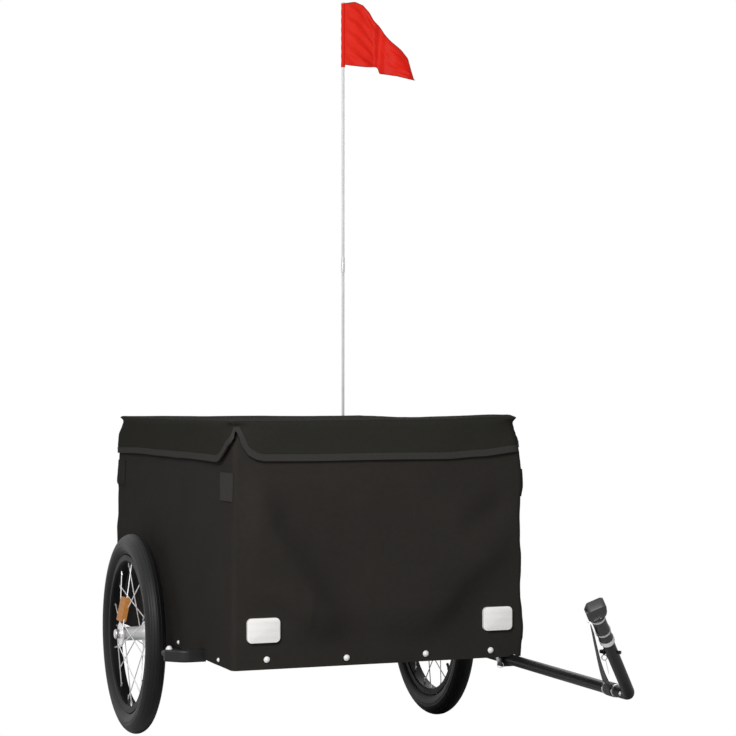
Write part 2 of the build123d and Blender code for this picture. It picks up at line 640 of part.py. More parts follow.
# ---- Wheels: tyre, rim, hub and spokes, with an amber reflector, on plug-in axles
tyre_points = []             # of its section: across the wheel, and out from the axle
for facet in range(tyre_facets):
    turn = 2 * pi * facet / tyre_facets
    up = wheel_radius - tyre_depth / 2 * (1 - sin(turn))
    tyre_points.append((tyre_width / 2 * cos(turn), up))
lip_place = 1 - 2 * (wheel_radius - rim_radius) / tyre_depth
bead_half = tyre_width / 2 * sqrt(1 - lip_place**2) + bead_gap
for name, side in sides.items():
    centre = Vector(0, side * half_track, wheel_radius)
    wheel_axis = Axis(centre, (0, 1, 0))
    section = Plane(origin=centre, x_dir=(0, 1, 0), z_dir=(1, 0, 0))

    with BuildPart() as tyre:
        with BuildSketch(section):
            with BuildLine():
                Polyline(*tyre_points, close=True)
            make_face()
        revolve(axis=wheel_axis)
    finish(tyre, f"{name}_tyre")

    with BuildPart() as rim:
        with BuildSketch(section):
            with Locations((0, (rim_radius + rim_inner_radius) / 2)):
                Rectangle(2 * (bead_half + rim_wall), rim_radius - rim_inner_radius)
            with Locations((0, (rim_radius + rim_channel_radius) / 2)):
                Rectangle(2 * bead_half, rim_lip, mode=Mode.SUBTRACT)
        revolve(axis=wheel_axis)
        chamfer(rim.edges().sort_by_distance(centre)[:2], length=rim_wall)
    finish(rim, f"{name}_rim")

    with BuildPart() as hub:
        with BuildSketch(section):
            with BuildLine():
                half = hub_length / 2
                flange_out = (hub_flange_spacing + hub_flange_width) / 2
                flange_in = flange_out - hub_flange_width
                bore = axle_dia / 2 + axle_play
                outline = [
                    (-half, hub_end_dia / 2), (-flange_out, hub_end_dia / 2),
                    (-flange_out, hub_flange_dia / 2), (-flange_in, hub_flange_dia / 2),
                    (-flange_in, hub_barrel_dia / 2),
                ]
                mirrored = [(-y, r) for y, r in reversed(outline)]
                Polyline(*outline, *mirrored, (half, bore), (-half, bore), close=True)
            make_face()
        revolve(axis=wheel_axis)
    finish(hub, f"{name}_hub")

    def spoke_ends(number):
        """Where one spoke leaves its hub flange and where it meets the rim."""
        flank = 1 if number % 2 else -1
        lean = spoke_lean if number // 2 % 2 else -spoke_lean
        rim_angle = 360 / spoke_count * number + 90
        beside = (hub_flange_width + spoke_dia) / 2 * (1 if lean > 0 else -1)
        at_hub = Vector(spoke_root, 0, 0).rotate(Axis.Y, rim_angle + lean)
        at_rim = Vector(rim_inner_radius - spoke_gap, 0, 0).rotate(Axis.Y, rim_angle)
        at_hub += Vector(0, flank * (hub_flange_spacing / 2 + beside), 0)
        return centre + at_hub, centre + at_rim + Vector(0, flank * spoke_dia, 0)

    spoke_lines = [spoke_ends(number) for number in range(spoke_count)]
    with BuildPart() as spokes:
        for start, end in spoke_lines:
            with BuildSketch(Plane(origin=start, z_dir=end - start)):
                Circle(spoke_dia / 2)
            extrude(amount=(end - start).length)
    finish(spokes, f"{name}_spokes")

    reach = rim_inner_radius - spoke_root
    slope = atan2(hub_flange_spacing / 2, reach)
    outward = hub_flange_spacing / 2 * (rim_inner_radius - reflector_radius) / reach
    reflector_plane = Plane(
        origin=centre + Vector(0, side * outward, reflector_radius),
        x_dir=(1, 0, 0),
        z_dir=(0, side * cos(slope), sin(slope)),
    )
    with BuildPart() as wheel_reflector:
        with BuildSketch(reflector_plane):
            RectangleRounded(reflector_width, reflector_height, reflector_depth / 3)
        extrude(amount=reflector_depth / 2, both=True)
        for start, end in spoke_lines:
            with BuildSketch(Plane(origin=start, z_dir=end - start)):
                Circle(spoke_dia / 2 + reflector_clear)
            extrude(amount=(end - start).length, mode=Mode.SUBTRACT)
    finish(wheel_reflector, f"{name}_wheel_reflector")

    hub_outer = half_track + hub_length / 2 + hub_side_gap
    with BuildPart() as stub_axle:
        with BuildSketch(Plane(origin=(0, side * (socket_face - socket_depth), wheel_radius), z_dir=(0, side, 0))):
            Circle(axle_dia / 2)
        extrude(amount=hub_outer - socket_face + socket_depth)
        with BuildSketch(Plane(origin=(0, side * socket_face, wheel_radius), z_dir=(0, side, 0))):
            Circle(axle_cap_dia / 2)
        extrude(amount=half_track - hub_length / 2 - hub_side_gap - socket_face)
        with BuildSketch(Plane(origin=(0, side * hub_outer, wheel_radius), z_dir=(0, side, 0))):
            Circle(axle_cap_dia / 2)
        extrude(amount=axle_cap_length)
        fillet(stub_axle.faces().sort_by(Axis((0, 0, 0), (0, side, 0)))[-1].edges(), radius=axle_cap_length / 3)
    finish(stub_axle, f"{name}_stub_axle")

print(f"tips {degrees(tip):.3f} degrees nose-down, shifted {-(rear_end + front_end) / 2:.2f} in x")
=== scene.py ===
import json
import math
from contextlib import contextmanager

import bmesh
import bpy
from mathutils import Matrix, Vector, noise


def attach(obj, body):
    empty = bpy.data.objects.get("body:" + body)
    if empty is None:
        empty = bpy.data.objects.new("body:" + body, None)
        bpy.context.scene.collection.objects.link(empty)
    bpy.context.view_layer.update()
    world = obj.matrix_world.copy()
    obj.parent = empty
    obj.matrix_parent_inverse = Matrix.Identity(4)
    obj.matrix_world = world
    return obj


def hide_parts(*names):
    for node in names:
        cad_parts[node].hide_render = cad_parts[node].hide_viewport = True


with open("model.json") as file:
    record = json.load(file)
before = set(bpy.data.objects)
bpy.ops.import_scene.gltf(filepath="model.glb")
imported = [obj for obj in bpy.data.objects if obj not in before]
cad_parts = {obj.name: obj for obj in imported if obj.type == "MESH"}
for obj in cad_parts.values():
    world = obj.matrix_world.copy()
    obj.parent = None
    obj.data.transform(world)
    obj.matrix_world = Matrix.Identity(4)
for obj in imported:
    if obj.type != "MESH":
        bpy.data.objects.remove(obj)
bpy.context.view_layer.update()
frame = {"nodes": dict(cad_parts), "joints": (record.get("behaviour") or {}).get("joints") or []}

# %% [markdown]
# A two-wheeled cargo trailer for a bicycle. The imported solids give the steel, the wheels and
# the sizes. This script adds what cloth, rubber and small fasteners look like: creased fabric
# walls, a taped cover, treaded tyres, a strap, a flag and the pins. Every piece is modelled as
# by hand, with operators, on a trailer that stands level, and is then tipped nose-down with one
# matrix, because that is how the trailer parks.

nodes = frame["nodes"]
joints = {joint["name"]: joint for joint in frame["joints"]}

# %% [markdown]
# The frame says how the trailer stands. A wheel's hinge gives the axle, and the direction in
# which the cover lifts gives the tip. PARKED carries a point of the level trailer, with x = 0
# at the axle and z = 0 on the ground, to where it is when the arm's elbow rests on the ground.

# %% From the level trailer to the parked one
left_axle = Vector(joints["left_wheel_spin"]["pos_m"])
lift = joints["cover_lift"]["axis"]
TIP = math.atan2(lift[0], lift[2])
WHEEL_RADIUS = left_axle.z
HALF_TRACK = left_axle.y
PARKED = (
    Matrix.Translation((left_axle.x, 0, WHEEL_RADIUS))
    @ Matrix.Rotation(TIP, 4, "Y")
    @ Matrix.Translation((0, 0, -WHEEL_RADIUS))
)
LEVEL = PARKED.inverted()


def corners(points):
    """Lowest and highest corner of a box round some points."""
    low = Vector(min(p[axis] for p in points) for axis in range(3))
    high = Vector(max(p[axis] for p in points) for axis in range(3))
    return low, high


def level_box(*names):
    """Lowest and highest corner of some solids, measured on the level trailer."""
    return corners([LEVEL @ v.co for name in names for v in nodes[name].data.vertices])


print(f"parked {math.degrees(TIP):.2f} degrees nose-down, half track {HALF_TRACK:.4f} m")

# %% [markdown]
# Operators work on what is selected, so a few small helpers keep the selection clean: one makes
# an object the only one selected, one adds a primitive with nothing else selected, one opens
# edit mode, and one picks faces, edges or points by their place.

# %% Helpers for selecting and adding
SELECT_MODES = {
    "verts": (True, False, False),
    "edges": (False, True, False),
    "faces": (False, False, True),
}


def alone(obj):
    """Make an object the only selected one, and the active one."""
    bpy.ops.object.select_all(action="DESELECT")
    obj.select_set(True)
    bpy.context.view_layer.objects.active = obj
    return obj


def primitive(kind, name, stretch=None, **settings):
    """Add a primitive, stretch and name it, and put its place into its mesh."""
    bpy.ops.object.select_all(action="DESELECT")
    getattr(bpy.ops.mesh, f"primitive_{kind}_add")(**settings)
    obj = bpy.context.object
    if stretch:
        obj.scale = stretch
    obj.name = name
    alone(obj)
    bpy.ops.object.transform_apply(location=True, rotation=True, scale=True)
    return obj


def link(obj):
    """Put a new object into the scene."""
    bpy.context.collection.objects.link(obj)
    return obj


def from_points(name, points, edges=(), faces=()):
    """An object whose mesh is drawn point by point."""
    mesh = bpy.data.meshes.new(name)
    mesh.from_pydata(points, edges, faces)
    return link(bpy.data.objects.new(name, mesh))


@contextmanager
def edit_mode(obj):
    """Open an object in edit mode, and leave it again."""
    alone(obj)
    bpy.ops.object.mode_set(mode="EDIT")
    yield
    bpy.ops.object.mode_set(mode="OBJECT")


def pick(kind, test):
    """In edit mode, select only the faces, edges or verts that pass a test."""
    mesh = bpy.context.object.data
    bpy.context.tool_settings.mesh_select_mode = SELECT_MODES[kind]
    bpy.ops.mesh.select_all(action="DESELECT")
    shape = bmesh.from_edit_mesh(mesh)
    for item in getattr(shape, kind):
        if test(item):
            item.select_set(True)
    bmesh.update_edit_mesh(mesh)


# %% [markdown]
# The other helpers act on a whole piece: they apply a modifier, shade it, turn its faces out,
# join or copy it, and turn it to its place. The last one finishes a piece: it tips it with the
# trailer, gives it its material and lets it ride on its body.

# %% Helpers for whole pieces
MERGE_GAP = 0.00001


def modify(obj, kind, **settings):
    """Add a modifier with its settings and apply it."""
    alone(obj)
    modifier = obj.modifiers.new(kind, kind)
    for setting, value in settings.items():
        setattr(modifier, setting, value)
    bpy.ops.object.modifier_apply(modifier=modifier.name)
    return obj


def smooth(obj, degrees=35):
    """Shade smooth, apart from edges that are sharper than an angle."""
    alone(obj)
    bpy.ops.object.shade_smooth_by_angle(angle=math.radians(degrees))


def outwards(obj):
    """Merge doubles and point every face out."""
    with edit_mode(obj):
        bpy.ops.mesh.select_all(action="SELECT")
        bpy.ops.mesh.remove_doubles(threshold=MERGE_GAP)
        bpy.ops.mesh.normals_make_consistent(inside=False)


def spin(name, points, axis, steps):
    """Spin a line of points full circle round an axis through the origin."""
    obj = from_points(name, points, [(i, i + 1) for i in range(len(points) - 1)])
    with edit_mode(obj):
        bpy.ops.mesh.select_all(action="SELECT")
        bpy.ops.mesh.spin(steps=steps, angle=math.tau, center=(0, 0, 0), axis=axis)
    outwards(obj)
    return obj


def join(pieces, name):
    """Join several meshes into one object."""
    bpy.ops.object.select_all(action="DESELECT")
    for piece in pieces:
        piece.select_set(True)
    bpy.context.view_layer.objects.active = pieces[0]
    if len(pieces) > 1:
        bpy.ops.object.join()
    pieces[0].name = name
    return pieces[0]


def copy_of(obj, matrix):
    """A copy with its own mesh, moved by a matrix."""
    copy = obj.copy()
    copy.data = obj.data.copy()
    copy.data.transform(matrix)
    return link(copy)


def facing(direction, place):
    """Matrix that takes a piece from the origin, its top along +Z, to a place and direction."""
    turn = Vector(direction).to_track_quat("Z", "Y")
    return Matrix.Translation(place) @ turn.to_matrix().to_4x4()


def put_on(obj, body, material, angle=None):
    """Shade a finished piece, tip it with the trailer, and give it body, slot and material."""
    if angle:
        smooth(obj, angle)
    obj.data.transform(PARKED)
    obj.data.materials.clear()
    obj.data.materials.append(material)
    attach(obj, body)
    return obj


# %% [markdown]
# The camera stands low in front of the trailer's right front corner, with a long lens, so that
# the box looks nearly square-on. It is set on the level trailer and tipped with it: the trailer
# then looks level, as on a stand, and the ground is seen from its edge. The floor is clear from
# below, so it never hides the tyres, and shows only in views from above.

# %% Camera, floor and backdrop
CAMERA_PLACE = Vector((3.8212, -1.2957, 0.6804))
CAMERA_YAW = 2.7722
CAMERA_PITCH = 0.01685
CAMERA_LENS = 93.24
FLOOR_GREY = 0.82
FILL_LIGHT = 0.20
look = Vector((math.cos(CAMERA_YAW), math.sin(CAMERA_YAW), math.tan(CAMERA_PITCH)))
bpy.ops.object.camera_add()
camera = bpy.context.object
camera.name = "camera"
camera.data.sensor_width = 36.0
camera.data.lens = CAMERA_LENS
turn = look.to_track_quat("-Z", "Y").to_matrix().to_4x4()
camera.matrix_world = PARKED @ Matrix.Translation(CAMERA_PLACE) @ turn
bpy.context.scene.camera = camera
bpy.context.scene.view_settings.view_transform = "Standard"

floor = primitive("plane", "studio_floor", size=14.0, location=(0, 0, -0.0005))
floor_paper = bpy.data.materials.new("floor_paper")
floor_paper.use_nodes = True
tree = floor_paper.node_tree
tree.nodes.clear()
paper = tree.nodes.new("ShaderNodeBsdfDiffuse")
paper.inputs["Color"].default_value = (FLOOR_GREY, FLOOR_GREY, FLOOR_GREY, 1)
clear = tree.nodes.new("ShaderNodeBsdfTransparent")
side = tree.nodes.new("ShaderNodeNewGeometry")
either = tree.nodes.new("ShaderNodeMixShader")
output = tree.nodes.new("ShaderNodeOutputMaterial")
tree.links.new(side.outputs["Backfacing"], either.inputs["Fac"])
tree.links.new(paper.outputs[0], either.inputs[1])
tree.links.new(clear.outputs[0], either.inputs[2])
tree.links.new(either.outputs[0], output.inputs["Surface"])
floor.data.materials.append(floor_paper)

# %% [markdown]
# The world is two backgrounds. A weak one lights the trailer from all sides. The camera, and
# whatever mirrors or lets light through, see a white one instead, so the backdrop is white
# without any more light on the black cloth.

# %% A white backdrop that adds no light
world = bpy.data.worlds.new("studio")
bpy.context.scene.world = world
world.use_nodes = True
tree = world.node_tree
tree.nodes.clear()
fill = tree.nodes.new("ShaderNodeBackground")
fill.inputs["Color"].default_value = (1, 1, 1, 1)
fill.inputs["Strength"].default_value = FILL_LIGHT
white = tree.nodes.new("ShaderNodeBackground")
white.inputs["Color"].default_value = (1, 1, 1, 1)
white.inputs["Strength"].default_value = 1.0
paths = tree.nodes.new("ShaderNodeLightPath")
seen = tree.nodes.new("ShaderNodeMath")
seen.operation = "MAXIMUM"
mirrored = tree.nodes.new("ShaderNodeMath")
mirrored.operation = "MAXIMUM"
either = tree.nodes.new("ShaderNodeMixShader")
output = tree.nodes.new("ShaderNodeOutputWorld")
tree.links.new(paths.outputs["Is Glossy Ray"], mirrored.inputs[0])
tree.links.new(paths.outputs["Is Transmission Ray"], mirrored.inputs[1])
tree.links.new(paths.outputs["Is Camera Ray"], seen.inputs[0])
tree.links.new(mirrored.outputs[0], seen.inputs[1])
tree.links.new(seen.outputs[0], either.inputs["Fac"])
tree.links.new(fill.outputs[0], either.inputs[1])
tree.links.new(white.outputs[0], either.inputs[2])
tree.links.new(either.outputs[0], output.inputs["Surface"])
print(f"lens {CAMERA_LENS} mm, fill light {FILL_LIGHT}")

# %% [markdown]
# Three large soft lamps do the lighting. The key stands beside the camera and a little above
# it, so the rounded corner of the box and the tyre's shoulder catch a soft streak. A second
# lamp lights the side, and a weaker one behind draws the cover's rear edge.

# %% Soft lamps


def soft_lamp(name, place, aim, size, watts):
    """An area lamp at a place on the level trailer, turned to a point."""
    bpy.ops.object.light_add(type="AREA")
    lamp = bpy.context.object
    lamp.name = name
    lamp.data.size = size
    lamp.data.energy = watts
    turn = (Vector(aim) - Vector(place)).to_track_quat("-Z", "Y").to_matrix().to_4x4()
    lamp.matrix_world = Matrix.Translation(place) @ turn


soft_lamp("key_lamp", (2.8, -2.0, 1.9), (0.1, -0.1, 0.35), 1.2, 125)
soft_lamp("side_lamp", (-0.6, -3.6, 2.2), (-0.4, 0, 0.4), 1.8, 6)
soft_lamp("rear_lamp", (-2.8, 1.6, 2.8), (-0.4, 0, 0.5), 2.0, 18)

# %% [markdown]
# Materials share their effects as node groups, each with named inputs and outputs: a weave for
# cloth, a mottle that shifts colour and gloss over a surface, a fine grain for paint and moulded
# plastic, scuffs for what gets knocked, and prisms for reflectors. Each material then places the
# groups it needs, with its own values, around one Principled shader.

# %% Helpers for node groups


def new_group(name, inputs, outputs):
    """A node group with its sockets. Inputs are (name, kind, default)."""
    tree = bpy.data.node_groups.new(name, "ShaderNodeTree")
    for label, kind, value in inputs:
        socket = tree.interface.new_socket(label, in_out="INPUT", socket_type=f"NodeSocket{kind}")
        if value is not None:
            socket.default_value = value
    for label, kind in outputs:
        tree.interface.new_socket(label, in_out="OUTPUT", socket_type=f"NodeSocket{kind}")
    return tree, tree.nodes.new("NodeGroupInput").outputs, tree.nodes.new("NodeGroupOutput").inputs


def add(tree, kind, links=None, **settings):
    """Add a node. Settings are its properties; links map an input to an output or a value."""
    node = tree.nodes.new(f"ShaderNode{kind}")
    for setting, value in settings.items():
        setattr(node, setting, value)
    for label, source in (links or {}).items():
        if isinstance(source, bpy.types.NodeSocket):
            tree.links.new(source, node.inputs[label])
        else:
            node.inputs[label].default_value = source
    return node


def maths(tree, operation, first, second=0.0):
    """One Math node, and its output."""
    return add(tree, "Math", {0: first, 1: second}, operation=operation).outputs[0]


# %% The groups: weave, mottle, grain, scuffs and prisms
MASK = "Float"
DARK = (0.1, 0.1, 0.1, 1)

weave_tree, given, out = new_group(
    "cloth_weave",
    [("Vector", "Vector", None), ("Threads per metre", MASK, 900.0)],
    [("Height", MASK), ("Shade", MASK)],
)
scaled = add(
    weave_tree, "VectorMath", {0: given["Vector"], "Scale": given["Threads per metre"]},
    operation="SCALE",
)
parts = add(weave_tree, "SeparateXYZ", {0: scaled.outputs[0]})
turns = [maths(weave_tree, "MULTIPLY", parts.outputs[axis], math.pi) for axis in (0, 1)]
warp, weft = (maths(weave_tree, "ABSOLUTE", maths(weave_tree, "SINE", turn)) for turn in turns)
cells = add(weave_tree, "TexChecker", {"Vector": scaled.outputs[0], "Scale": 1.0})
over = maths(weave_tree, "MULTIPLY", warp, cells.outputs["Fac"])
other_cells = maths(weave_tree, "SUBTRACT", 1.0, cells.outputs["Fac"])
under = maths(weave_tree, "MULTIPLY", weft, other_cells)
thread = maths(weave_tree, "ADD", over, under)
weave_tree.links.new(thread, out["Height"])
# The Shade output is the mask for a painted highlight: thread height times a slow noise, and
# cloth_finish brightens the colour where it is high.
slub = add(weave_tree, "TexNoise", {"Vector": scaled.outputs[0], "Scale": 0.09, "Detail": 3.0})
weave_tree.links.new(maths(weave_tree, "MULTIPLY", thread, slub.outputs["Fac"]), out["Shade"])

mottle_tree, given, out = new_group(
    "mottle",
    [
        ("Vector", "Vector", None), ("Color", "Color", DARK), ("Tint", "Color", DARK),
        ("Scale", MASK, 6.0), ("Low roughness", MASK, 0.4), ("High roughness", MASK, 0.6),
    ],
    [("Color", "Color"), ("Roughness", MASK), ("Mask", MASK)],
)
cloud = add(
    mottle_tree, "TexNoise", {"Vector": given["Vector"], "Scale": given["Scale"], "Detail": 4.0}
)
spread = add(
    mottle_tree, "MapRange", {"Value": cloud.outputs["Fac"], "From Min": 0.32, "From Max": 0.68}
)
shifted = add(
    mottle_tree, "MixRGB", {"Fac": spread.outputs[0], 1: given["Color"], 2: given["Tint"]}
)
rough = add(
    mottle_tree, "MapRange",
    {"Value": spread.outputs[0], "To Min": given["Low roughness"],
     "To Max": given["High roughness"]},
)
mottle_tree.links.new(shifted.outputs[0], out["Color"])
mottle_tree.links.new(rough.outputs[0], out["Roughness"])
mottle_tree.links.new(spread.outputs[0], out["Mask"])

grain_tree, given, out = new_group(
    "grain", [("Vector", "Vector", None), ("Scale", MASK, 900.0)], [("Height", MASK)]
)
fine = add(
    grain_tree, "TexNoise", {"Vector": given["Vector"], "Scale": given["Scale"], "Detail": 2.0}
)
dimple_scale = maths(grain_tree, "MULTIPLY", given["Scale"], 0.4)
dimples = add(
    grain_tree, "TexVoronoi", {"Vector": given["Vector"], "Scale": dimple_scale},
    feature="SMOOTH_F1",
)
both = maths(grain_tree, "ADD", fine.outputs["Fac"], dimples.outputs["Distance"])
grain_tree.links.new(maths(grain_tree, "MULTIPLY", both, 0.5), out["Height"])

scuff_tree, given, out = new_group(
    "scuffs",
    [("Vector", "Vector", None), ("Scale", MASK, 40.0), ("Amount", MASK, 0.1)],
    [("Mask", MASK)],
)
patchy = add(
    scuff_tree, "TexNoise", {"Vector": given["Vector"], "Scale": given["Scale"], "Detail": 6.0}
)
stretched = add(scuff_tree, "Mapping", {"Vector": given["Vector"], "Scale": (1.0, 7.0, 3.0)})
lines = add(
    scuff_tree, "TexNoise",
    {"Vector": stretched.outputs[0], "Scale": given["Scale"], "Detail": 2.0},
)
mixed = maths(scuff_tree, "MULTIPLY", patchy.outputs["Fac"], lines.outputs["Fac"])
cut = add(scuff_tree, "MapRange", {"Value": mixed, "From Min": 0.34, "From Max": 0.46})
scuff_tree.links.new(maths(scuff_tree, "MULTIPLY", cut.outputs[0], given["Amount"]), out["Mask"])

prism_tree, given, out = new_group(
    "prisms",
    [("Vector", "Vector", None), ("Cells per metre", MASK, 450.0)],
    [("Height", MASK), ("Shade", MASK)],
)
beads = add(
    prism_tree, "TexVoronoi",
    {"Vector": given["Vector"], "Scale": given["Cells per metre"], "Randomness": 0.15},
)
rows = add(
    prism_tree, "VectorMath", {0: given["Vector"], "Scale": given["Cells per metre"]},
    operation="SCALE",
)
split = add(prism_tree, "SeparateXYZ", {0: rows.outputs[0]})
stripe = maths(prism_tree, "FRACT", maths(prism_tree, "MULTIPLY", split.outputs["Z"], 0.25))
prism_tree.links.new(maths(prism_tree, "ADD", beads.outputs["Distance"], stripe), out["Height"])
prism_tree.links.new(beads.outputs["Distance"], out["Shade"])
print("groups:", ", ".join(group.name for group in bpy.data.node_groups))

# %% Materials around one Principled shader


def place_group(tree, group, links):
    """Place a node group in a material and link or set its inputs."""
    return add(tree, "Group", links, node_tree=group)


def new_material(name, **plain):
    """A material with one Principled shader. Plain values go on its own sockets."""
    material = bpy.data.materials.new(name)
    material.use_nodes = True
    shader = material.node_tree.nodes["Principled BSDF"]
    for label, value in plain.items():
        shader.inputs[label.replace("_", " ").title().replace("Ior", "IOR")].default_value = value
    return material, material.node_tree, shader


def shade(value, alpha=1.0):
    """A colour from one grey value or three channels."""
    red, green, blue = (value, value, value) if isinstance(value, float) else value
    return (red, green, blue, alpha)


def hard_finish(
    name, colour, tint, rough, mottle_scale=9.0, grain_scale=900.0, bump=0.03, scuff=0.0,
    worn=0.3, **plain,
):
    """Paint, metal or plastic: a mottle for colour and gloss, a grain for bump, and scuffs."""
    material, tree, shader = new_material(name, **plain)
    place = add(tree, "TexCoord").outputs["Object"]
    mottle = place_group(
        tree, mottle_tree,
        {"Vector": place, "Color": shade(colour), "Tint": shade(tint), "Scale": mottle_scale,
         "Low roughness": rough[0], "High roughness": rough[1]},
    )
    colour_out = mottle.outputs["Color"]
    if scuff:
        marks = place_group(tree, scuff_tree, {"Vector": place, "Scale": 55.0, "Amount": scuff})
        scuffed = add(tree, "MixRGB", {"Fac": marks.outputs["Mask"], 1: colour_out, 2: shade(worn)})
        colour_out = scuffed.outputs[0]
    tree.links.new(colour_out, shader.inputs["Base Color"])
    tree.links.new(mottle.outputs["Roughness"], shader.inputs["Roughness"])
    grain = place_group(tree, grain_tree, {"Vector": place, "Scale": grain_scale})
    relief = add(
        tree, "Bump", {"Height": grain.outputs["Height"], "Strength": bump, "Distance": 0.0004}
    )
    tree.links.new(relief.outputs[0], shader.inputs["Normal"])
    return material


# How much brighter than the tint the painted highlight on raised threads is.
THREAD_PAINTED_HIGHLIGHT = 2.2


def cloth_finish(name, colour, tint, rough, threads=1100.0, bump=0.25, painted_highlight=0.25, **plain):
    """Woven cloth on a UV map in metres: weave for bump and for a painted highlight on raised
    threads, mottle for dust and fading.
    """
    material, tree, shader = new_material(name, **plain)
    coordinates = add(tree, "TexCoord")
    weave = place_group(
        tree, weave_tree, {"Vector": coordinates.outputs["UV"], "Threads per metre": threads}
    )
    mottle = place_group(
        tree, mottle_tree,
        {"Vector": coordinates.outputs["Object"], "Color": shade(colour), "Tint": shade(tint),
         "Scale": 5.0, "Low roughness": rough[0], "High roughness": rough[1]},
    )
    # Painted highlight: where the weave's Shade mask is high, the colour is mixed towards a
    # brighter tint, as if the raised threads caught the light.
    lit = maths(tree, "MULTIPLY", weave.outputs["Shade"], painted_highlight)
    painted_highlight_colour = shade(tuple(min(1.0, channel * THREAD_PAINTED_HIGHLIGHT) for channel in shade(tint)[:3]))
    threads_lit = add(tree, "MixRGB", {"Fac": lit, 1: mottle.outputs["Color"], 2: painted_highlight_colour})
    tree.links.new(threads_lit.outputs[0], shader.inputs["Base Color"])
    tree.links.new(mottle.outputs["Roughness"], shader.inputs["Roughness"])
    relief = add(
        tree, "Bump", {"Height": weave.outputs["Height"], "Strength": bump, "Distance": 0.0003}
    )
    tree.links.new(relief.outputs[0], shader.inputs["Normal"])
    return material


# %% [markdown]
# Each finish is one call. Black cloth and black paint differ less in colour than in gloss: the
# cloth hardly mirrors anything, the paint a little and the rubber in between. Steel that shows
# bright is metallic, and white plastic is not.

# %% Cloth, rubber, paint, plastic and metal
box_cloth = cloth_finish(
    "box_cloth", (0.0195, 0.0176, 0.0158), (0.0235, 0.0212, 0.0190), (0.85, 0.95),
    specular_ior_level=0.03,
)
cover_cloth = cloth_finish(
    "cover_cloth", (0.0180, 0.0176, 0.0150), (0.0210, 0.0206, 0.0176), (0.92, 1.0),
    specular_ior_level=0.02,
)
tape_cloth = cloth_finish(
    "tape_cloth", (0.031, 0.030, 0.028), (0.034, 0.033, 0.031), (0.85, 0.95), threads=1400.0,
    bump=0.4, specular_ior_level=0.05,
)
patch_cloth = cloth_finish(
    "patch_cloth", (0.026, 0.0245, 0.022), (0.031, 0.0295, 0.027), (0.85, 0.95), threads=700.0,
    bump=0.8, specular_ior_level=0.12,
)
webbing = cloth_finish(
    "webbing", (0.014, 0.014, 0.0145), (0.022, 0.022, 0.023), (0.5, 0.62), threads=800.0,
    bump=0.8,
)
flag_cloth = cloth_finish(
    "flag_cloth", (0.62, 0.011, 0.005), (0.68, 0.020, 0.009), (0.50, 0.60), threads=1500.0,
    bump=0.12, painted_highlight=0.04, specular_ior_level=0.12,
)
hem_cloth = cloth_finish(
    "hem_cloth", (0.20, 0.010, 0.008), (0.26, 0.016, 0.012), (0.7, 0.8), specular_ior_level=0.1,
)
tyre_rubber = hard_finish(
    "tyre_rubber", 0.0050, 0.0070, (0.46, 0.56), 14.0, 700.0, 0.10, scuff=0.08, worn=0.020,
    specular_ior_level=0.26,
)
coupling_rubber = hard_finish("coupling_rubber", 0.020, 0.026, (0.5, 0.62), 20.0, 700.0, 0.12)
black_coat = hard_finish(
    "black_coat", 0.005, 0.008, (0.38, 0.48), 12.0, 1400.0, 0.05, scuff=0.08, worn=0.04,
    specular_ior_level=0.26,
)
bar_coat = hard_finish(
    "bar_coat", 0.009, 0.012, (0.36, 0.46), 12.0, 1400.0, 0.05, scuff=0.10, worn=0.05,
    specular_ior_level=0.34,
)
head_coat = hard_finish(
    "head_coat", 0.020, 0.026, (0.36, 0.5), 30.0, 1200.0, 0.08, scuff=0.12, worn=0.15,
)
rim_coat = hard_finish(
    "rim_coat", 0.004, 0.006, (0.44, 0.54), 12.0, 1600.0, 0.03, scuff=0.1, worn=0.04,
    specular_ior_level=0.14,
)
black_plastic = hard_finish("black_plastic", 0.022, 0.030, (0.42, 0.55), 20.0, 900.0, 0.15)
board = hard_finish("board", 0.018, 0.024, (0.6, 0.72), 7.0, 500.0, 0.2, scuff=0.15, worn=0.06)
white_plastic = hard_finish("white_plastic", 0.82, 0.76, (0.32, 0.42), 20.0, 700.0, 0.03)
pole_resin = hard_finish("pole_resin", 0.72, 0.64, (0.30, 0.42), 30.0, 1500.0, 0.04)
bright_steel = hard_finish(
    "bright_steel", 0.62, 0.54, (0.20, 0.34), 40.0, 1500.0, 0.03, metallic=1.0,
)
spoke_steel = hard_finish(
    "spoke_steel", 0.88, 0.80, (0.26, 0.38), 40.0, 1500.0, 0.02, metallic=0.45,
)
satin_alloy = hard_finish(
    "satin_alloy", 0.66, 0.58, (0.30, 0.42), 40.0, 1500.0, 0.03, metallic=0.75,
)
hub_alloy = hard_finish("hub_alloy", 0.86, 0.78, (0.30, 0.42), 40.0, 1500.0, 0.03, metallic=0.5)
print("materials:", len(bpy.data.materials))

# %% Reflectors: a moulded lens over prisms, with a painted glow


def lens_finish(name, colour, tint, painted_glow, coat=0.6, rough=0.22, gleam=0.5):
    """A moulded reflector: prisms under a glossy lens, which shines with a painted glow of its own
    colour.
    """
    material, tree, shader = new_material(
        name, roughness=rough, specular_ior_level=gleam, coat_weight=coat, coat_roughness=0.06,
        emission_strength=painted_glow,
    )
    place = add(tree, "TexCoord").outputs["Object"]
    prisms = place_group(tree, prism_tree, {"Vector": place, "Cells per metre": 420.0})
    mixed = add(tree, "MixRGB", {"Fac": prisms.outputs["Shade"], 1: shade(colour), 2: shade(tint)})
    tree.links.new(mixed.outputs[0], shader.inputs["Base Color"])
    # Painted glow: the lens colour is also emitted, so the lens shines though it is no lamp.
    tree.links.new(mixed.outputs[0], shader.inputs["Emission Color"])
    relief = add(
        tree, "Bump", {"Height": prisms.outputs["Height"], "Strength": 0.15, "Distance": 0.0006}
    )
    tree.links.new(relief.outputs[0], shader.inputs["Normal"])
    return material


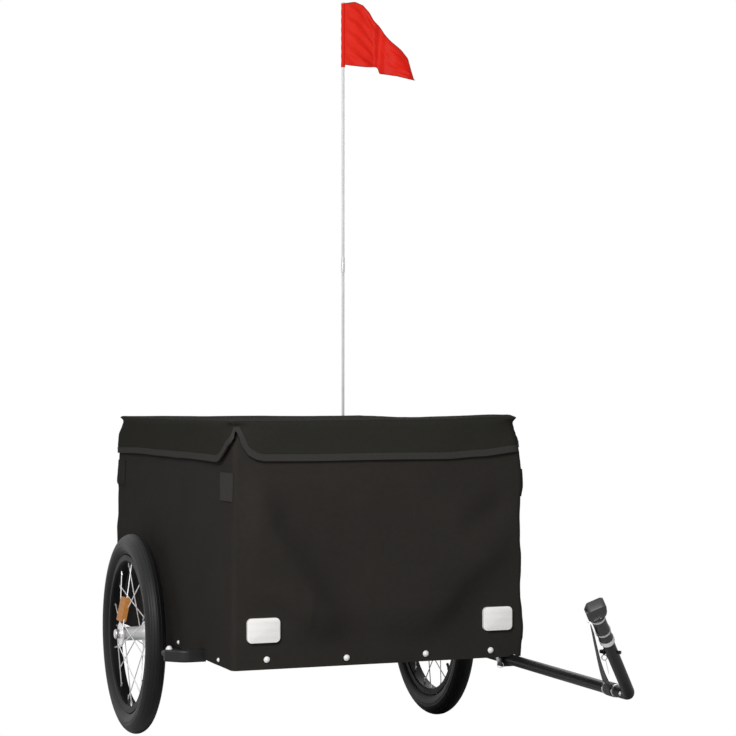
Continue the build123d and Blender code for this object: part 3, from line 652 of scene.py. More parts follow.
# The fourth value of each lens is its painted glow, the strength of its emission.
white_lens = lens_finish("white_lens", (0.76, 0.75, 0.73), (0.64, 0.63, 0.62), 0.16)
red_lens = lens_finish("red_lens", (0.55, 0.012, 0.010), (0.40, 0.006, 0.006), 0.05)
amber_lens = lens_finish(
    "amber_lens", (0.52, 0.22, 0.05), (0.36, 0.14, 0.03), 0.03, coat=0.0, rough=0.5, gleam=0.15,
)

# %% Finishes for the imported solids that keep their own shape
solid_finishes = {
    black_coat: [
        "tow_arm", "arm_clips", "side_rails", "cross_rails", "axle_tube", "corner_posts",
        "top_rail", "riser_pin",
    ],
    bar_coat: ["left_guard_bar", "right_guard_bar"],
    head_coat: ["hitch_head"],
    black_plastic: ["left_bar_plug", "right_bar_plug"],
    board: ["floor_panel"],
    coupling_rubber: ["flex_coupling"],
    satin_alloy: ["lock_pin"],
    bright_steel: [
        "coupling_bands", "king_pin", "keeper_pin", "pole_ferrule", "left_stub_axle",
        "right_stub_axle",
    ],
    white_plastic: ["riser_collar"],
    hub_alloy: ["left_hub", "right_hub"],
    rim_coat: ["left_rim", "right_rim"],
    spoke_steel: ["left_spokes", "right_spokes"],
    amber_lens: ["left_wheel_reflector", "right_wheel_reflector"],
    white_lens: ["front_reflectors"],
    red_lens: ["rear_reflectors"],
    pole_resin: ["lower_pole", "upper_pole"],
    webbing: ["pole_pocket"],
}
for material, names in solid_finishes.items():
    for name in names:
        nodes[name].data.materials.clear()
        nodes[name].data.materials.append(material)
print("solids with a finish:", sum(len(names) for names in solid_finishes.values()))

# %% [markdown]
# The walls are one tube of cloth laced round the frame. Four flat plates would show their
# corners, so the tube starts as a box with its ends open and its upright edges rounded, cut
# into a fine grid. Slack cloth hangs in long creases that run from where it is held, and those
# are pushed in along the cloth's own normals, each with a soft ridge beside it.

# %% A tube of cloth round the frame
WALL_NAMES = ("front_panel", "rear_panel", "left_panel", "right_panel")
wall_low, wall_high = level_box(*WALL_NAMES)
CORNER_ROUND = 0.010


def runs_along(edge, axis, shortest=0.0):
    """Whether an edge is parallel to an axis, and at least so long."""
    step = edge.verts[1].co - edge.verts[0].co
    return step.length > shortest and abs(step[axis]) > 0.999 * step.length


walls = primitive(
    "cube", "box_walls", size=1, location=(wall_low + wall_high) / 2, scale=wall_high - wall_low
)
with edit_mode(walls):
    pick("edges", lambda edge: runs_along(edge, 2))
    bpy.ops.mesh.bevel(offset=CORNER_ROUND, segments=5, affect="EDGES")
    pick("faces", lambda face: abs(face.normal.z) > 0.9)
    bpy.ops.mesh.delete(type="FACE")
    for axis, cuts in ((0, 111), (1, 79), (2, 63)):
        pick("edges", lambda edge: runs_along(edge, axis, 0.1))
        bpy.ops.mesh.subdivide(number_cuts=cuts)
print(f"box_walls: {len(walls.data.polygons)} faces before the creases")

# %% How a crease pushes a point


def soft_step(value, start, end):
    """0 before start, 1 after end, and smooth between."""
    share = max(0.0, min(1.0, (value - start) / (end - start)))
    return share * share * (3 - 2 * share)


def between(value, stops):
    """Read a line through (place, value) stops, eased from stop to stop."""
    if value <= stops[0][0]:
        return stops[0][1]
    for (x0, y0), (x1, y1) in zip(stops, stops[1:]):
        if value <= x1:
            return y0 + (y1 - y0) * soft_step(value, x0, x1)
    return stops[-1][1]


def along_line(point, line):
    """Distance from a point to a line through several points, and the share of the line passed."""
    best, total, passed = (9.0, 0.0), sum((b - a).length for a, b in zip(line, line[1:])), 0.0
    for a, b in zip(line, line[1:]):
        reach = b - a
        share = max(0.0, min(1.0, (point - a).dot(reach) / reach.length_squared))
        gap = (point - a - reach * share).length
        if gap < best[0]:
            best = (gap, (passed + share * reach.length) / total)
        passed += reach.length
    return best


def crease(point, line, depth, width, ridge=0.35):
    """A valley along a line, with a lower ridge beside it, fading at both ends."""
    gap, share = along_line(point, line)
    if gap > 5 * width:
        return 0.0
    fade = min(1.0, share * 5, (1 - share) * 5)
    valley = math.exp(-((gap / width) ** 2))
    shoulder = math.exp(-(((gap - 1.9 * width) / width) ** 2))
    return depth * max(fade, 0.0) * (ridge * shoulder - valley)


def beside(point, a, b):
    """Distance of a point from one stretch of a line, and the side of it that the point is on."""
    reach = b - a
    share = max(0.0, min(1.0, (point - a).dot(reach) / reach.length_squared))
    return (point - a - reach * share).length, reach.cross(point - a).z


def ledge(point, line, height, fall, rise):
    """Cloth drawn up to a line from its upper side, gently, and falling away steeply past it."""
    gap, share = along_line(point, line)
    over = min(beside(point, a, b) for a, b in zip(line, line[1:]))[1] < 0
    fade = soft_step(share, 0.0, 0.3) * soft_step(1 - share, 0.0, 0.2)
    return height * fade * math.exp(-((gap / (rise if over else fall)) ** 2))


def ripple(place, scale, seed):
    """Smooth noise between -1 and 1, always the same for the same place."""
    return noise.noise(Vector(place) * scale + Vector((seed, 3.7 * seed, 1.3 * seed)))


# %% [markdown]
# The folds are drawn as lines on each wall. A ledge is cloth drawn up to a line and falling away
# past it, and a crease is a narrow valley. Behind each line stand its height or depth and how
# far it reaches, in metres.

# %% Folds of each wall, measured across it and up from the ground
def flat_line(*points):
    """A line on a wall, from (across, up) pairs."""
    return [Vector((across, up, 0.0)) for across, up in points]


front_ledges = [
    (
        flat_line(
            (-0.252, 0.585), (-0.243, 0.521), (-0.226, 0.447), (-0.182, 0.381), (-0.118, 0.280),
            (-0.066, 0.195),
        ),
        0.0190, 0.036, 0.060,
    ),
    (
        flat_line((0.275, 0.445), (0.145, 0.345), (0.092, 0.269), (0.072, 0.190)),
        0.0165, 0.038, 0.100,
    ),
]
front_creases = [
    (flat_line((0.262, 0.502), (0.215, 0.462), (0.150, 0.422)), 0.0038, 0.022),
    (flat_line((-0.141, 0.330), (-0.141, 0.255)), -0.0022, 0.007),
    (flat_line((0.020, 0.560), (0.045, 0.380), (0.030, 0.230)), 0.0012, 0.030),
]
rear_creases = [
    (flat_line((-0.205, 0.550), (-0.160, 0.400), (-0.150, 0.230)), 0.0055, 0.018),
    (flat_line((0.262, 0.500), (0.150, 0.350), (0.095, 0.215)), 0.0070, 0.020),
    (flat_line((-0.020, 0.560), (0.020, 0.430), (0.005, 0.300)), 0.0030, 0.022),
]
side_creases = [
    (flat_line((-0.300, 0.325), (0.050, 0.352), (0.400, 0.412)), 0.0008, 0.030),
    (flat_line((0.505, 0.545), (0.440, 0.420), (0.330, 0.300), (0.290, 0.225)), 0.0012, 0.034),
    (flat_line((-0.280, 0.545), (-0.215, 0.400), (-0.090, 0.250)), 0.0012, 0.034),
    (flat_line((0.120, 0.560), (0.105, 0.440), (0.140, 0.300)), 0.0008, 0.034),
]

print(f"{len(front_ledges)} ledges, {len(front_creases + rear_creases + side_creases)} creases")

# %% [markdown]
# Cloth that a reflector holds down stays flat, so every fold fades out near a lens. It also
# fades under the cover and at the hem. Between its edges the cloth bellies out a little.

# %% Push the creases in, and let the cloth belly a little between its edges
BELLY = 0.0050
BROAD_RIPPLE, FINE_RIPPLE = 0.0016, 0.0008
FLAT_BESIDE_LENS, FREE_OF_LENS = 0.028, 0.070
COVERED_FROM, COVER_FADE = 0.576, 0.045
HEM_FLAT, HEM_FREE = 0.024, 0.110


def lens_halves(name):
    """The points of the right and of the left lens of a pair, on the level trailer."""
    points = [LEVEL @ vertex.co for vertex in nodes[name].data.vertices]
    return [[point for point in points if (point.y < 0) == right] for right in (True, False)]


def lens_middles(name):
    """Where the two lenses of a pair sit on their wall, measured across it and up."""
    return [
        Vector([sum(point[axis] for point in half) / len(half) for axis in (1, 2)] + [0.0])
        for half in lens_halves(name)
    ]


LENSES = {1: lens_middles("front_reflectors"), -1: lens_middles("rear_reflectors")}


def wall_push(place, normal):
    """How far the cloth stands out of its plane at a place on the level trailer."""
    front_share = (place.x - wall_low.x) / (wall_high.x - wall_low.x)
    side_share = (place.y - wall_low.y) / (wall_high.y - wall_low.y)
    up_share = (place.z - wall_low.z) / (wall_high.z - wall_low.z)
    if abs(normal.x) > abs(normal.y):
        lines = front_creases if normal.x > 0 else rear_creases
        across, share = place.y, side_share
    else:
        lines, across, share = side_creases, place.x, front_share
    here = Vector((across, place.z, 0.0))
    push = sum(crease(here, line, depth, width) for line, depth, width in lines)
    if normal.x > 0.7:
        held = soft_step(place.y - wall_low.y, 0.0, 0.045)
        push += sum(ledge(here, *fold) for fold in front_ledges) * held
    share, up_share = (max(0.0, min(1.0, part)) for part in (share, up_share))
    belly = math.sin(math.pi * share) * math.sin(math.pi * up_share)
    push += BELLY * belly
    push += BROAD_RIPPLE * ripple(place, 9.0, 2.0) + FINE_RIPPLE * ripple(place, 26.0, 5.0)
    if abs(normal.x) > 0.7:
        beside_lens = min((here - middle).length for middle in LENSES[round(normal.x)])
        push *= soft_step(beside_lens, FLAT_BESIDE_LENS, FREE_OF_LENS)
    under_cover = min(1.0, max(0.0, (COVERED_FROM - place.z) / COVER_FADE))
    at_hem = soft_step(place.z, wall_low.z + HEM_FLAT, wall_low.z + HEM_FREE)
    return push * under_cover * at_hem + 0.0006 * ripple(place, 14.0, 8.0)


# %% [markdown]
# The corner posts stand inside the cloth, so its upright corners are not straight: they bulge
# where the cloth is slack. Each table gives (height, bulge) from the hem up. Near the top the
# cover's flaps pinch the corners in.

# %% Where the cloth stands proud of the frame's corners, and where the cover pinches it in
FAR_BULGE = (
    (0.19, 0.006), (0.216, 0.0075), (0.231, 0.0105), (0.247, 0.0112), (0.277, 0.0088),
    (0.307, 0.0058), (0.330, 0.0055), (0.353, 0.0072), (0.385, 0.0074), (0.414, 0.0050),
    (0.455, 0.0046), (0.498, 0.0053), (0.515, 0.0088), (0.543, 0.0078), (0.559, 0.0060),
    (0.577, 0.0040), (0.600, 0.0),
)
REAR_BULGE = (
    (0.19, 0.004), (0.360, 0.0060), (0.400, 0.0068), (0.432, 0.0035), (0.486, 0.0035),
    (0.504, 0.0060), (0.521, 0.0040), (0.540, 0.0022), (0.560, 0.0020), (0.577, 0.0),
)
NEAR_SLACK = ((0.19, 0.001), (0.40, 0.002), (0.56, 0.003), (0.64, 0.003))


def corner_gap(place, across_x, across_y):
    """Distance from one upright corner of the tube, measured level."""
    corner = Vector((
        wall_high.x if across_x > 0 else wall_low.x, wall_high.y if across_y > 0 else wall_low.y
    ))
    return (Vector((place.x, place.y)) - corner).length


def corner_shift(place, normal):
    """How the cloth moves near the upright corners, as a level vector."""
    shift = Vector((0.0, 0.0, 0.0))
    for across_x, across_y, stops, reach in (
        (1, 1, FAR_BULGE, 0.13), (-1, -1, REAR_BULGE, 0.13), (-1, 1, REAR_BULGE, 0.13)
    ):
        near = math.exp(-((corner_gap(place, across_x, across_y) / reach) ** 2))
        shift.y += across_y * near * between(place.z, stops)
    near = math.exp(-((corner_gap(place, 1, -1) / 0.10) ** 2))
    shift.y += near * between(place.z, NEAR_SLACK)
    gap = min(corner_gap(place, *corner) for corner in ((-1, -1), (-1, 1), (1, -1), (1, 1)))
    pinch = 0.0090 * math.exp(-((gap / 0.020) ** 2)) + 0.0028 * math.exp(-((gap / 0.060) ** 2))
    return shift - normal * pinch * soft_step(place.z, 0.598, 0.622)


directions = [vertex.normal.copy() for vertex in walls.data.vertices]
for vertex, direction in zip(walls.data.vertices, directions):
    outward = Vector((direction.x, direction.y, 0.0)).normalized()
    place = vertex.co.copy()
    vertex.co += outward * wall_push(place, outward) + corner_shift(place, outward)
depth = max(v.co.x for v in walls.data.vertices) - wall_high.x
print(f"the front stands out by up to {depth * 1000:.1f} mm")

# %% [markdown]
# The hem folds round the frame's rails. It has a notch for each guard bar and for each end of
# the axle, and it is lifted where the tow arm passes under the front. Bisect cuts the cloth
# exactly along the edges of a notch, so that the faces inside it can be taken away.

# %% Notches in the hem
BAR_NOTCH = (0.337, 0.363, 0.2115)
AXLE_NOTCH = (-0.0135, 0.0135, 0.2165)
ARM_RADIUS = 0.01025
ARM_ACROSS = 0.272
ARM_HEIGHT = 0.1864
ARM_CLEAR = ARM_RADIUS + 0.0006
ARM_CUTS = (0.0, 0.0035, 0.0065, 0.0088, 0.0100, 0.0107, 0.0112)


def bisect(place, normal):
    """Cut every face along a plane and keep both sides."""
    bpy.ops.mesh.select_all(action="SELECT")
    bpy.ops.mesh.bisect(plane_co=place, plane_no=normal)


def in_notch(face):
    """Whether a face of a side wall lies in one of the hem's notches."""
    middle = face.calc_center_median()
    on_side = abs(face.normal.y) > 0.7
    return on_side and any(
        low < middle.x < high and middle.z < top for low, high, top in (BAR_NOTCH, AXLE_NOTCH)
    )


with edit_mode(walls):
    for low, high, top in (BAR_NOTCH, AXLE_NOTCH):
        bisect((low, 0, 0), (1, 0, 0))
        bisect((high, 0, 0), (1, 0, 0))
    bisect((0, 0, BAR_NOTCH[2]), (0, 0, 1))
    bisect((0, 0, AXLE_NOTCH[2]), (0, 0, 1))
    for aside in ARM_CUTS:
        for across in (ARM_ACROSS - aside, ARM_ACROSS + aside):
            bisect((0, across, 0), (0, 1, 0))
    pick("faces", in_notch)
    bpy.ops.mesh.delete(type="FACE")

for vertex in walls.data.vertices:
    if vertex.co.x > wall_high.x - 0.03:
        aside = abs(vertex.co.y - ARM_ACROSS) / ARM_CLEAR
        if aside < 1:
            vertex.co.z = max(vertex.co.z, ARM_HEIGHT + ARM_CLEAR * math.sqrt(1 - aside**2))
print(f"after the notches: {len(walls.data.polygons)} faces")

# %% [markdown]
# Cloth needs its weave at one scale everywhere, so each cloth piece gets a UV map in metres:
# every face is laid flat along the axis that it faces most. Then the tube gets its thickness,
# inwards, so that its outside stays where it was shaped.

# %% UV map in metres, and the cloth's thickness
WALL_CLOTH = 0.0012


def lay_uv(obj):
    """A UV map in metres: every face is laid flat along the axis that it faces most."""
    layer = obj.data.uv_layers[0] if obj.data.uv_layers else obj.data.uv_layers.new(name="cloth")
    for face in obj.data.polygons:
        facing_axis = max(range(3), key=lambda axis: abs(face.normal[axis]))
        first, second = [axis for axis in range(3) if axis != facing_axis]
        for corner in face.loop_indices:
            place = obj.data.vertices[obj.data.loops[corner].vertex_index].co
            layer.data[corner].uv = (place[first], place[second])


modify(walls, "SOLIDIFY", thickness=WALL_CLOTH, offset=-1.0)
lay_uv(walls)
smooth(walls, 60)
walls_level = copy_of(walls, Matrix())
put_on(walls, "trailer", box_cloth)
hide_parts(*WALL_NAMES)
print(f"{walls.name}: {len(walls.data.polygons)} faces")

# %% [markdown]
# The cover lies on the box like the lid of a shoe box. Its top is one grid whose outermost
# points are drawn into round corners. The flaps are rows extruded down from the top's edge, and
# every column of points then slides along one profile: over a soft edge, and down to the flap's
# lower edge. That edge rises into an open notch at the corner near the viewer, and all four
# corners of the top are pinched into small ears where the seams meet.

# %% The cover's outline and its grid
cover_low, cover_high = level_box("cover")
SOFT_EDGE = 0.0085
ROW = 0.01
ROWS = 14
cover_middle = (cover_low + cover_high) / 2
half = (cover_high - cover_low) / 2 - Vector((0.0008, 0.0008, 0))
cover = primitive(
    "grid", "cover_sheet", stretch=(half.x, half.y, 1), x_subdivisions=110, y_subdivisions=78,
    size=2, location=(cover_middle.x, cover_middle.y, cover_high.z),
)


def corner_round(sign):
    """Radius of one corner of the outline: the one with the open notch is the sharpest."""
    if sign.x > 0:
        return 0.008 if sign.y < 0 else 0.024
    return 0.020


def outline_gap(place):
    """Distance of a place inside the cover's rounded outline, and the way out from it."""
    from_middle = Vector((place.x - cover_middle.x, place.y - cover_middle.y))
    sign = Vector((math.copysign(1, from_middle.x), math.copysign(1, from_middle.y)))
    radius = corner_round(sign)
    past = Vector((abs(from_middle.x) - half.x + radius, abs(from_middle.y) - half.y + radius))
    if past.x > 0 and past.y > 0:
        return radius - past.length, Vector((sign.x * past.x, sign.y * past.y, 0)).normalized()
    if past.x > past.y:
        return radius - past.x, Vector((sign.x, 0, 0))
    return radius - past.y, Vector((0, sign.y, 0))


# %% Gather the grid towards its edges, and draw its corners round
for vertex in cover.data.vertices:
    across = (vertex.co.x - cover_middle.x) / half.x
    along = (vertex.co.y - cover_middle.y) / half.y
    across *= 1.32 - 0.32 * across**2
    along *= 1.32 - 0.32 * along**2
    sign = Vector((math.copysign(1, across), math.copysign(1, along)))
    radius = corner_round(sign)
    past = Vector((abs(across) * half.x - half.x + radius, abs(along) * half.y - half.y + radius))
    if past.x > 0 and past.y > 0:
        past *= max(past.x, past.y) / past.length
        across = sign.x * (half.x - radius + past.x) / half.x
        along = sign.y * (half.y - radius + past.y) / half.y
    vertex.co.x = cover_middle.x + across * half.x
    vertex.co.y = cover_middle.y + along * half.y
with edit_mode(cover):
    pick("edges", lambda edge: edge.is_boundary)
    for row in range(ROWS):
        bpy.ops.mesh.extrude_edges_move(TRANSFORM_OT_translate={"value": (0, 0, -ROW)})
print(f"cover: {len(cover.data.polygons)} faces, top at {cover_high.z:.3f} m")

# %% Where the flap's lower edge runs
FLAP_FRONT = 0.5700
FLAP_SIDE = 0.5675
NOTCH_APEX = -0.2780
NOTCH_ON_FRONT = (
    (0.0, 0.6300), (0.0048, 0.6123), (0.0106, 0.5962), (0.020, 0.5818), (0.0356, 0.5732),
    (0.052, 0.5700),
)
NOTCH_ON_SIDE = (
    (0.0, 0.6300), (0.005, 0.6120), (0.013, 0.6030), (0.029, 0.5944), (0.049, 0.5820),
    (0.072, 0.5715), (0.088, 0.5675),
)
TAPE_WIDTH = 0.0125


def straight_between(value, stops):
    """Read a straight line from stop to stop."""
    for (x0, y0), (x1, y1) in zip(stops, stops[1:]):
        if value <= x1:
            return y0 + (y1 - y0) * max(0.0, value - x0) / (x1 - x0)
    return stops[-1][1]


def past_apex(place):
    """Way along the outline from the notch's top: over the front, or back along the side."""
    if place.y > NOTCH_APEX:
        return place.y - NOTCH_APEX
    return -(NOTCH_APEX - place.y) - (cover_middle.x + half.x - place.x)


def flap_edge(place, way):
    """Height of the flap's lower edge below a place on the cover's outline."""
    on_front = abs(way.x) > abs(way.y)
    height = FLAP_FRONT if on_front else FLAP_SIDE
    if on_front and way.x > 0:
        slow_rise = 0.0035 * soft_step(place.y, 0.13, 0.20)
        height += slow_rise + 0.0080 * soft_step(place.y, 0.200, 0.285)
    if not on_front and way.y > 0:
        height += 0.0220 * soft_step(place.x, 0.40, 0.53)
    if not on_front and way.y < 0:
        height -= 0.0035 * soft_step(place.x, -0.15, -0.31)
    height += 0.0018 * ripple((place.x, place.y, 0), 7.0, 4.0)
    if way.x > 0 or way.y < 0:
        passed = past_apex(place)
        if 0 <= passed < NOTCH_ON_FRONT[-1][0] and way.x > 0.1:
            return max(height, straight_between(passed, NOTCH_ON_FRONT))
        if -NOTCH_ON_SIDE[-1][0] < passed < 0 and (way.y < 0 or place.y < NOTCH_APEX):
            return max(height, straight_between(-passed, NOTCH_ON_SIDE))
    return height


def tape_width(place, way):
    """Height of the tape at a place: square to the edge, so it is taller where that is steep."""
    step = 0.002
    slide = Vector((-way.y, way.x, 0)) * step
    slope = (flap_edge(place + slide, way) - flap_edge(place - slide, way)) / (2 * step)
    return TAPE_WIDTH * math.sqrt(1 + min(abs(slope), 3.0) ** 2)


# %% [markdown]
# A flap is not a flat plate. It is pinched in at a corner, just below the top, and flares a
# little further down. PINCH and FLARE give (way below the top, share), and the three edges
# give (place along the edge, rise), because the top is drawn up where the cloth is tight.

# %% How the flaps leave their plane, and how the top is drawn up
CORNER_PINCH, PINCH_REACH = 0.0118, 0.038
NOTCH_X, NOTCH_Y = 0.539, -0.290
PINCH = (
    (0.0, 0.0), (0.003, 0.22), (0.008, 0.95), (0.0115, 1.0), (0.020, 0.70), (0.029, 0.33),
    (0.037, 0.0),
)
FLARE = ((0.030, 0.0), (0.046, 0.8), (0.060, 1.0), (0.080, 0.6))
LEFT_EDGE = (
    (-0.314, 0.0020), (-0.05, 0.0004), (0.05, 0.0007), (0.133, 0.0018), (0.217, 0.0042),
    (0.297, 0.0058), (0.374, 0.0076), (0.440, 0.0095), (0.495, 0.0095), (0.525, 0.0060),
    (0.539, 0.0040),
)
REAR_EDGE = (
    (-0.29, 0.0014), (-0.20, 0.0017), (-0.10, 0.0012), (0.02, 0.0024), (0.10, 0.0015),
    (0.29, 0.0020),
)
FRONT_EDGE = ((-0.29, 0.0), (-0.10, 0.0004), (0.12, 0.0016), (0.24, 0.0046), (0.29, 0.0042))


def sharp_corner_gap(place):
    """Distance from the nearest corner of the cover, were its corners not rounded."""
    from_middle = Vector((abs(place.x - cover_middle.x), abs(place.y - cover_middle.y)))
    return (from_middle - Vector((half.x, half.y))).length


def flap_flare(place, drop):
    """How far a flap stands out of its plane, at so much below the top."""
    gap = sharp_corner_gap(place)
    from_notch = Vector((place.x - NOTCH_X, place.y - NOTCH_Y)).length
    at_notch = math.exp(-((from_notch / 0.07) ** 2))
    pinch = CORNER_PINCH * math.exp(-((gap / PINCH_REACH) ** 2)) * (1 - 0.35 * at_notch)
    flare = 0.0015 * math.exp(-((gap / 0.070) ** 2))
    out = flare * between(drop, FLARE) - pinch * between(drop, PINCH)
    out += 0.0012 * ripple((place.x, place.y, -drop), 13.0, 6.0) * soft_step(drop, 0.004, 0.03)
    return out + 0.0014 * soft_step(drop, 0.040, 0.066)


def top_rise(place):
    """How far the cover's top stands above its mean height."""
    rear = math.exp(-(((place.x - cover_middle.x + half.x) / 0.16) ** 2))
    front = math.exp(-(((cover_middle.x + half.x - place.x) / 0.16) ** 2))
    left = math.exp(-(((cover_middle.y + half.y - place.y) / 0.11) ** 2))
    right = math.exp(-(((place.y - cover_middle.y + half.y) / 0.11) ** 2))
    rise = left * between(place.x, LEFT_EDGE) + (1 - left) * (
        rear * between(place.y, REAR_EDGE) + (1 - rear) * front * between(place.y, FRONT_EDGE)
    )
    inside = (1 - left) * (1 - right) * (1 - rear) * (1 - front)
    ear = 0.0014 * math.exp(-((sharp_corner_gap(place) / 0.014) ** 2)) * (1 - front * right)
    level = (place.x, place.y, 0)
    creased = 0.0006 * ripple(level, 8.0, 1.0) + 0.0005 * ripple(level, 21.0, 9.0)
    return rise - 0.0006 * inside + ear + creased


# %% [markdown]
# Each point of a flap knows its row. The lowest rows belong to the tape and keep its width, and
# the rows above share what is left. Round the soft edge the point also moves inwards, along a
# circle: 0.293 is the drop of a circle's point at 45 degrees, where the top meets the flap.

# %% Slide every column along the profile
TAPE_ROWS = 2
EDGE_DROP = SOFT_EDGE * 0.293
RISE_FADE = 0.045
for vertex in cover.data.vertices:
    row = round((cover_high.z - vertex.co.z) / ROW)
    gap, way = outline_gap(vertex.co)
    place = vertex.co.copy()
    rise = top_rise(place)
    if row == 0:
        angle = math.radians(45) * max(0.0, 1 - gap / SOFT_EDGE)
        drop = SOFT_EDGE * (1 - math.cos(angle))
        inward = SOFT_EDGE * (1 - math.sin(angle)) if gap < SOFT_EDGE else gap
        vertex.co = place + way * (gap - inward) + Vector((0, 0, rise - drop))
        continue
    lower = cover_high.z - flap_edge(place, way)
    tape = max(0.0025, min(tape_width(place, way), lower - 0.0105))
    from_bottom = ROWS - row
    if from_bottom <= TAPE_ROWS:
        drop = lower - tape * from_bottom / TAPE_ROWS
    else:
        drop = EDGE_DROP + (lower - tape - EDGE_DROP) * row / (ROWS - TAPE_ROWS)
    inward = 0.0
    if drop < SOFT_EDGE:
        inward = SOFT_EDGE * (1 - math.sqrt(1 - max(0.0, 1 - drop / SOFT_EDGE) ** 2))
    shift = rise * max(0.0, 1 - drop / RISE_FADE)
    below = Vector((place.x, place.y, cover_high.z - drop + shift))
    vertex.co = below + way * (flap_flare(place, drop) - inward)
highest = max(v.co.z for v in cover.data.vertices)
print(f"the cover's highest point is {(highest - cover_high.z) * 1000:.1f} mm above the solid")

# %% [markdown]
# A lighter tape binds the flap's raw edge. It is made from the flap's own lowest rows: they are
# duplicated, split off and given a little more thickness than the cloth, so the tape follows
# each bend of the edge and stands proud on both sides.

# %% The tape along the flap, and the cover's thickness
COVER_CLOTH = 0.0014
TAPE_THICKNESS = 0.0034
with edit_mode(cover):
    bpy.ops.mesh.select_all(action="SELECT")
    bpy.ops.mesh.normals_make_consistent(inside=False)
shape = bmesh.new()
shape.from_mesh(cover.data)
shape.verts.ensure_lookup_table()
frontier = {v.index for v in shape.verts if v.is_boundary}
tape_points = set(frontier)
for row in range(TAPE_ROWS):
    reached = (shape.verts[index] for index in frontier)
    frontier = {edge.other_vert(v).index for v in reached for edge in v.link_edges} - tape_points
    tape_points |= frontier
shape.free()
with edit_mode(cover):
    pick("faces", lambda face: all(vert.index in tape_points for vert in face.verts))
    bpy.ops.mesh.duplicate()
    bpy.ops.mesh.separate(type="SELECTED")
tape = next(obj for obj in bpy.context.selected_objects if obj is not cover)
tape.name = "cover_tape"
for piece, thickness, material in (
    (cover, COVER_CLOTH, cover_cloth), (tape, TAPE_THICKNESS, tape_cloth)
):
    modify(piece, "SOLIDIFY", thickness=thickness, offset=0.0)
    lay_uv(piece)
    put_on(piece, "lift_off_cover", material, 60)
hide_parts("cover")
for piece in (cover, tape):
    print(f"{piece.name}: {len(piece.data.polygons)} faces")

# %% [markdown]
# Near the top of each side, beside the corners, a patch of heavier cloth is sewn on. A patch is
# a small grid laid on the wall with a Shrinkwrap modifier, so it takes the wall's creases, and
# then thickened outwards.

# %% Sewn patches on the sides
PATCH_LENGTH, PATCH_HEIGHT = 0.068, 0.052
PATCH_THICKNESS = 0.0016
PATCH_UP = 0.523
patches = []
for across in (-1, 1):
    for centre_x in (0.4965, wall_low.x + 0.0385):
        side_y = wall_high.y if across > 0 else wall_low.y
        patch = primitive(
            "grid", "side_patch", stretch=(PATCH_LENGTH, PATCH_HEIGHT, 1), x_subdivisions=12,
            y_subdivisions=9, size=1, location=(centre_x, side_y + 0.01 * across, PATCH_UP),
            rotation=(math.radians(90), 0, 0),
        )
        modify(
            patch, "SHRINKWRAP", target=walls_level, offset=0.0004, wrap_method="PROJECT",
            use_project_y=True, use_positive_direction=across < 0,
            use_negative_direction=across > 0, use_project_x=False, use_project_z=False,
        )
        with edit_mode(patch):
            bpy.ops.mesh.select_all(action="SELECT")
            bpy.ops.mesh.normals_make_consistent(inside=False)
            pick("faces", lambda face: True)
            facing_out = bmesh.from_edit_mesh(patch.data).faces
            facing_out.ensure_lookup_table()
            if facing_out[0].normal.y * across < 0:
                bpy.ops.mesh.flip_normals()
        modify(patch, "SOLIDIFY", thickness=PATCH_THICKNESS, offset=1.0)
        patches.append(patch)
for pair, name, material in (
    (patches[0::2], "side_patches", patch_cloth), (patches[1::2], "rear_patches", box_cloth)
):
    patch = join(pair, name)
    lay_uv(patch)
    put_on(patch, "trailer", material, 40)
    print(f"{name}: {len(patch.data.polygons)} faces")
bpy.data.objects.remove(walls_level)

# %% [markdown]
# The front reflectors are moulded lenses: a box with well rounded corners and a soft rim. Each
# lens is a little smaller than the plate of its solid, on the sides that LENS_TRIMS names.

# %% Front reflectors
LENS_ROUND, LENS_RIM, LENS_DOME = 0.0085, 0.0030, 0.0012
LENS_TRIMS = ((0.0, 0.0, 0.0, 0.0026), (0.0022, 0.0004, 0.0028, 0.0))
lenses = []
for points, (inner, outer, foot, top) in zip(lens_halves("front_reflectors"), LENS_TRIMS):
    low, high = corners(points)
    low += Vector((0, inner, foot))
    high -= Vector((0, 0, top))
    high.y -= outer
    lens = primitive("cube", "lens", size=1, location=(low + high) / 2, scale=high - low)
    with edit_mode(lens):
        pick("edges", lambda edge: runs_along(edge, 0))
        bpy.ops.mesh.bevel(offset=LENS_ROUND, segments=6, affect="EDGES")
        pick("faces", lambda face: face.normal.x > 0.9)
        bpy.ops.mesh.inset(thickness=LENS_RIM)
        bpy.ops.transform.translate(value=(LENS_DOME, 0, 0))
    lenses.append(lens)
lens = join(lenses, "front_lenses")
put_on(lens, "trailer", white_lens, 40)
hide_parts("front_reflectors")
print(f"front_lenses: {len(lens.data.polygons)} faces")

# %% [markdown]
# Between the axle and the guard bar's root a thin plate stiffens each side rail from below. It
# starts as a flat box whose two lower corners are then moved to where the plate ends.

# %% Plates under the side rails
PLATE_X, PLATE_Y, PLATE_Z = 0.1175, 0.2815, 0.1955
PLATE_SIZE = (0.195, 0.002, 0.017)
plates = []
for across in (-1, 1):
    plate = primitive(
        "cube", "plate", size=1, location=(PLATE_X, across * PLATE_Y, PLATE_Z), scale=PLATE_SIZE
    )
    with edit_mode(plate):
        for rear, drop in ((True, -0.0110), (False, 0.0020)):
            pick("verts", lambda vert: vert.co.z < 0.19 and (vert.co.x < 0.1) == rear)
            bpy.ops.transform.translate(value=(0, 0, drop))
    modify(plate, "BEVEL", width=0.0004, segments=1, limit_method="ANGLE")
    plates.append(plate)
plate = join(plates, "rail_plates")
lay_uv(plate)
put_on(plate, "trailer", box_cloth, 30)
print(f"rail_plates: {len(plate.data.polygons)} faces")

# %% [markdown]
# White domed bolts hold the hem to the rails. One bolt is modelled: a short cylinder whose
# outer face is drawn out in rings of shrinking size, over a thin washer. It is then copied to
# every place, each copy with its own mesh.

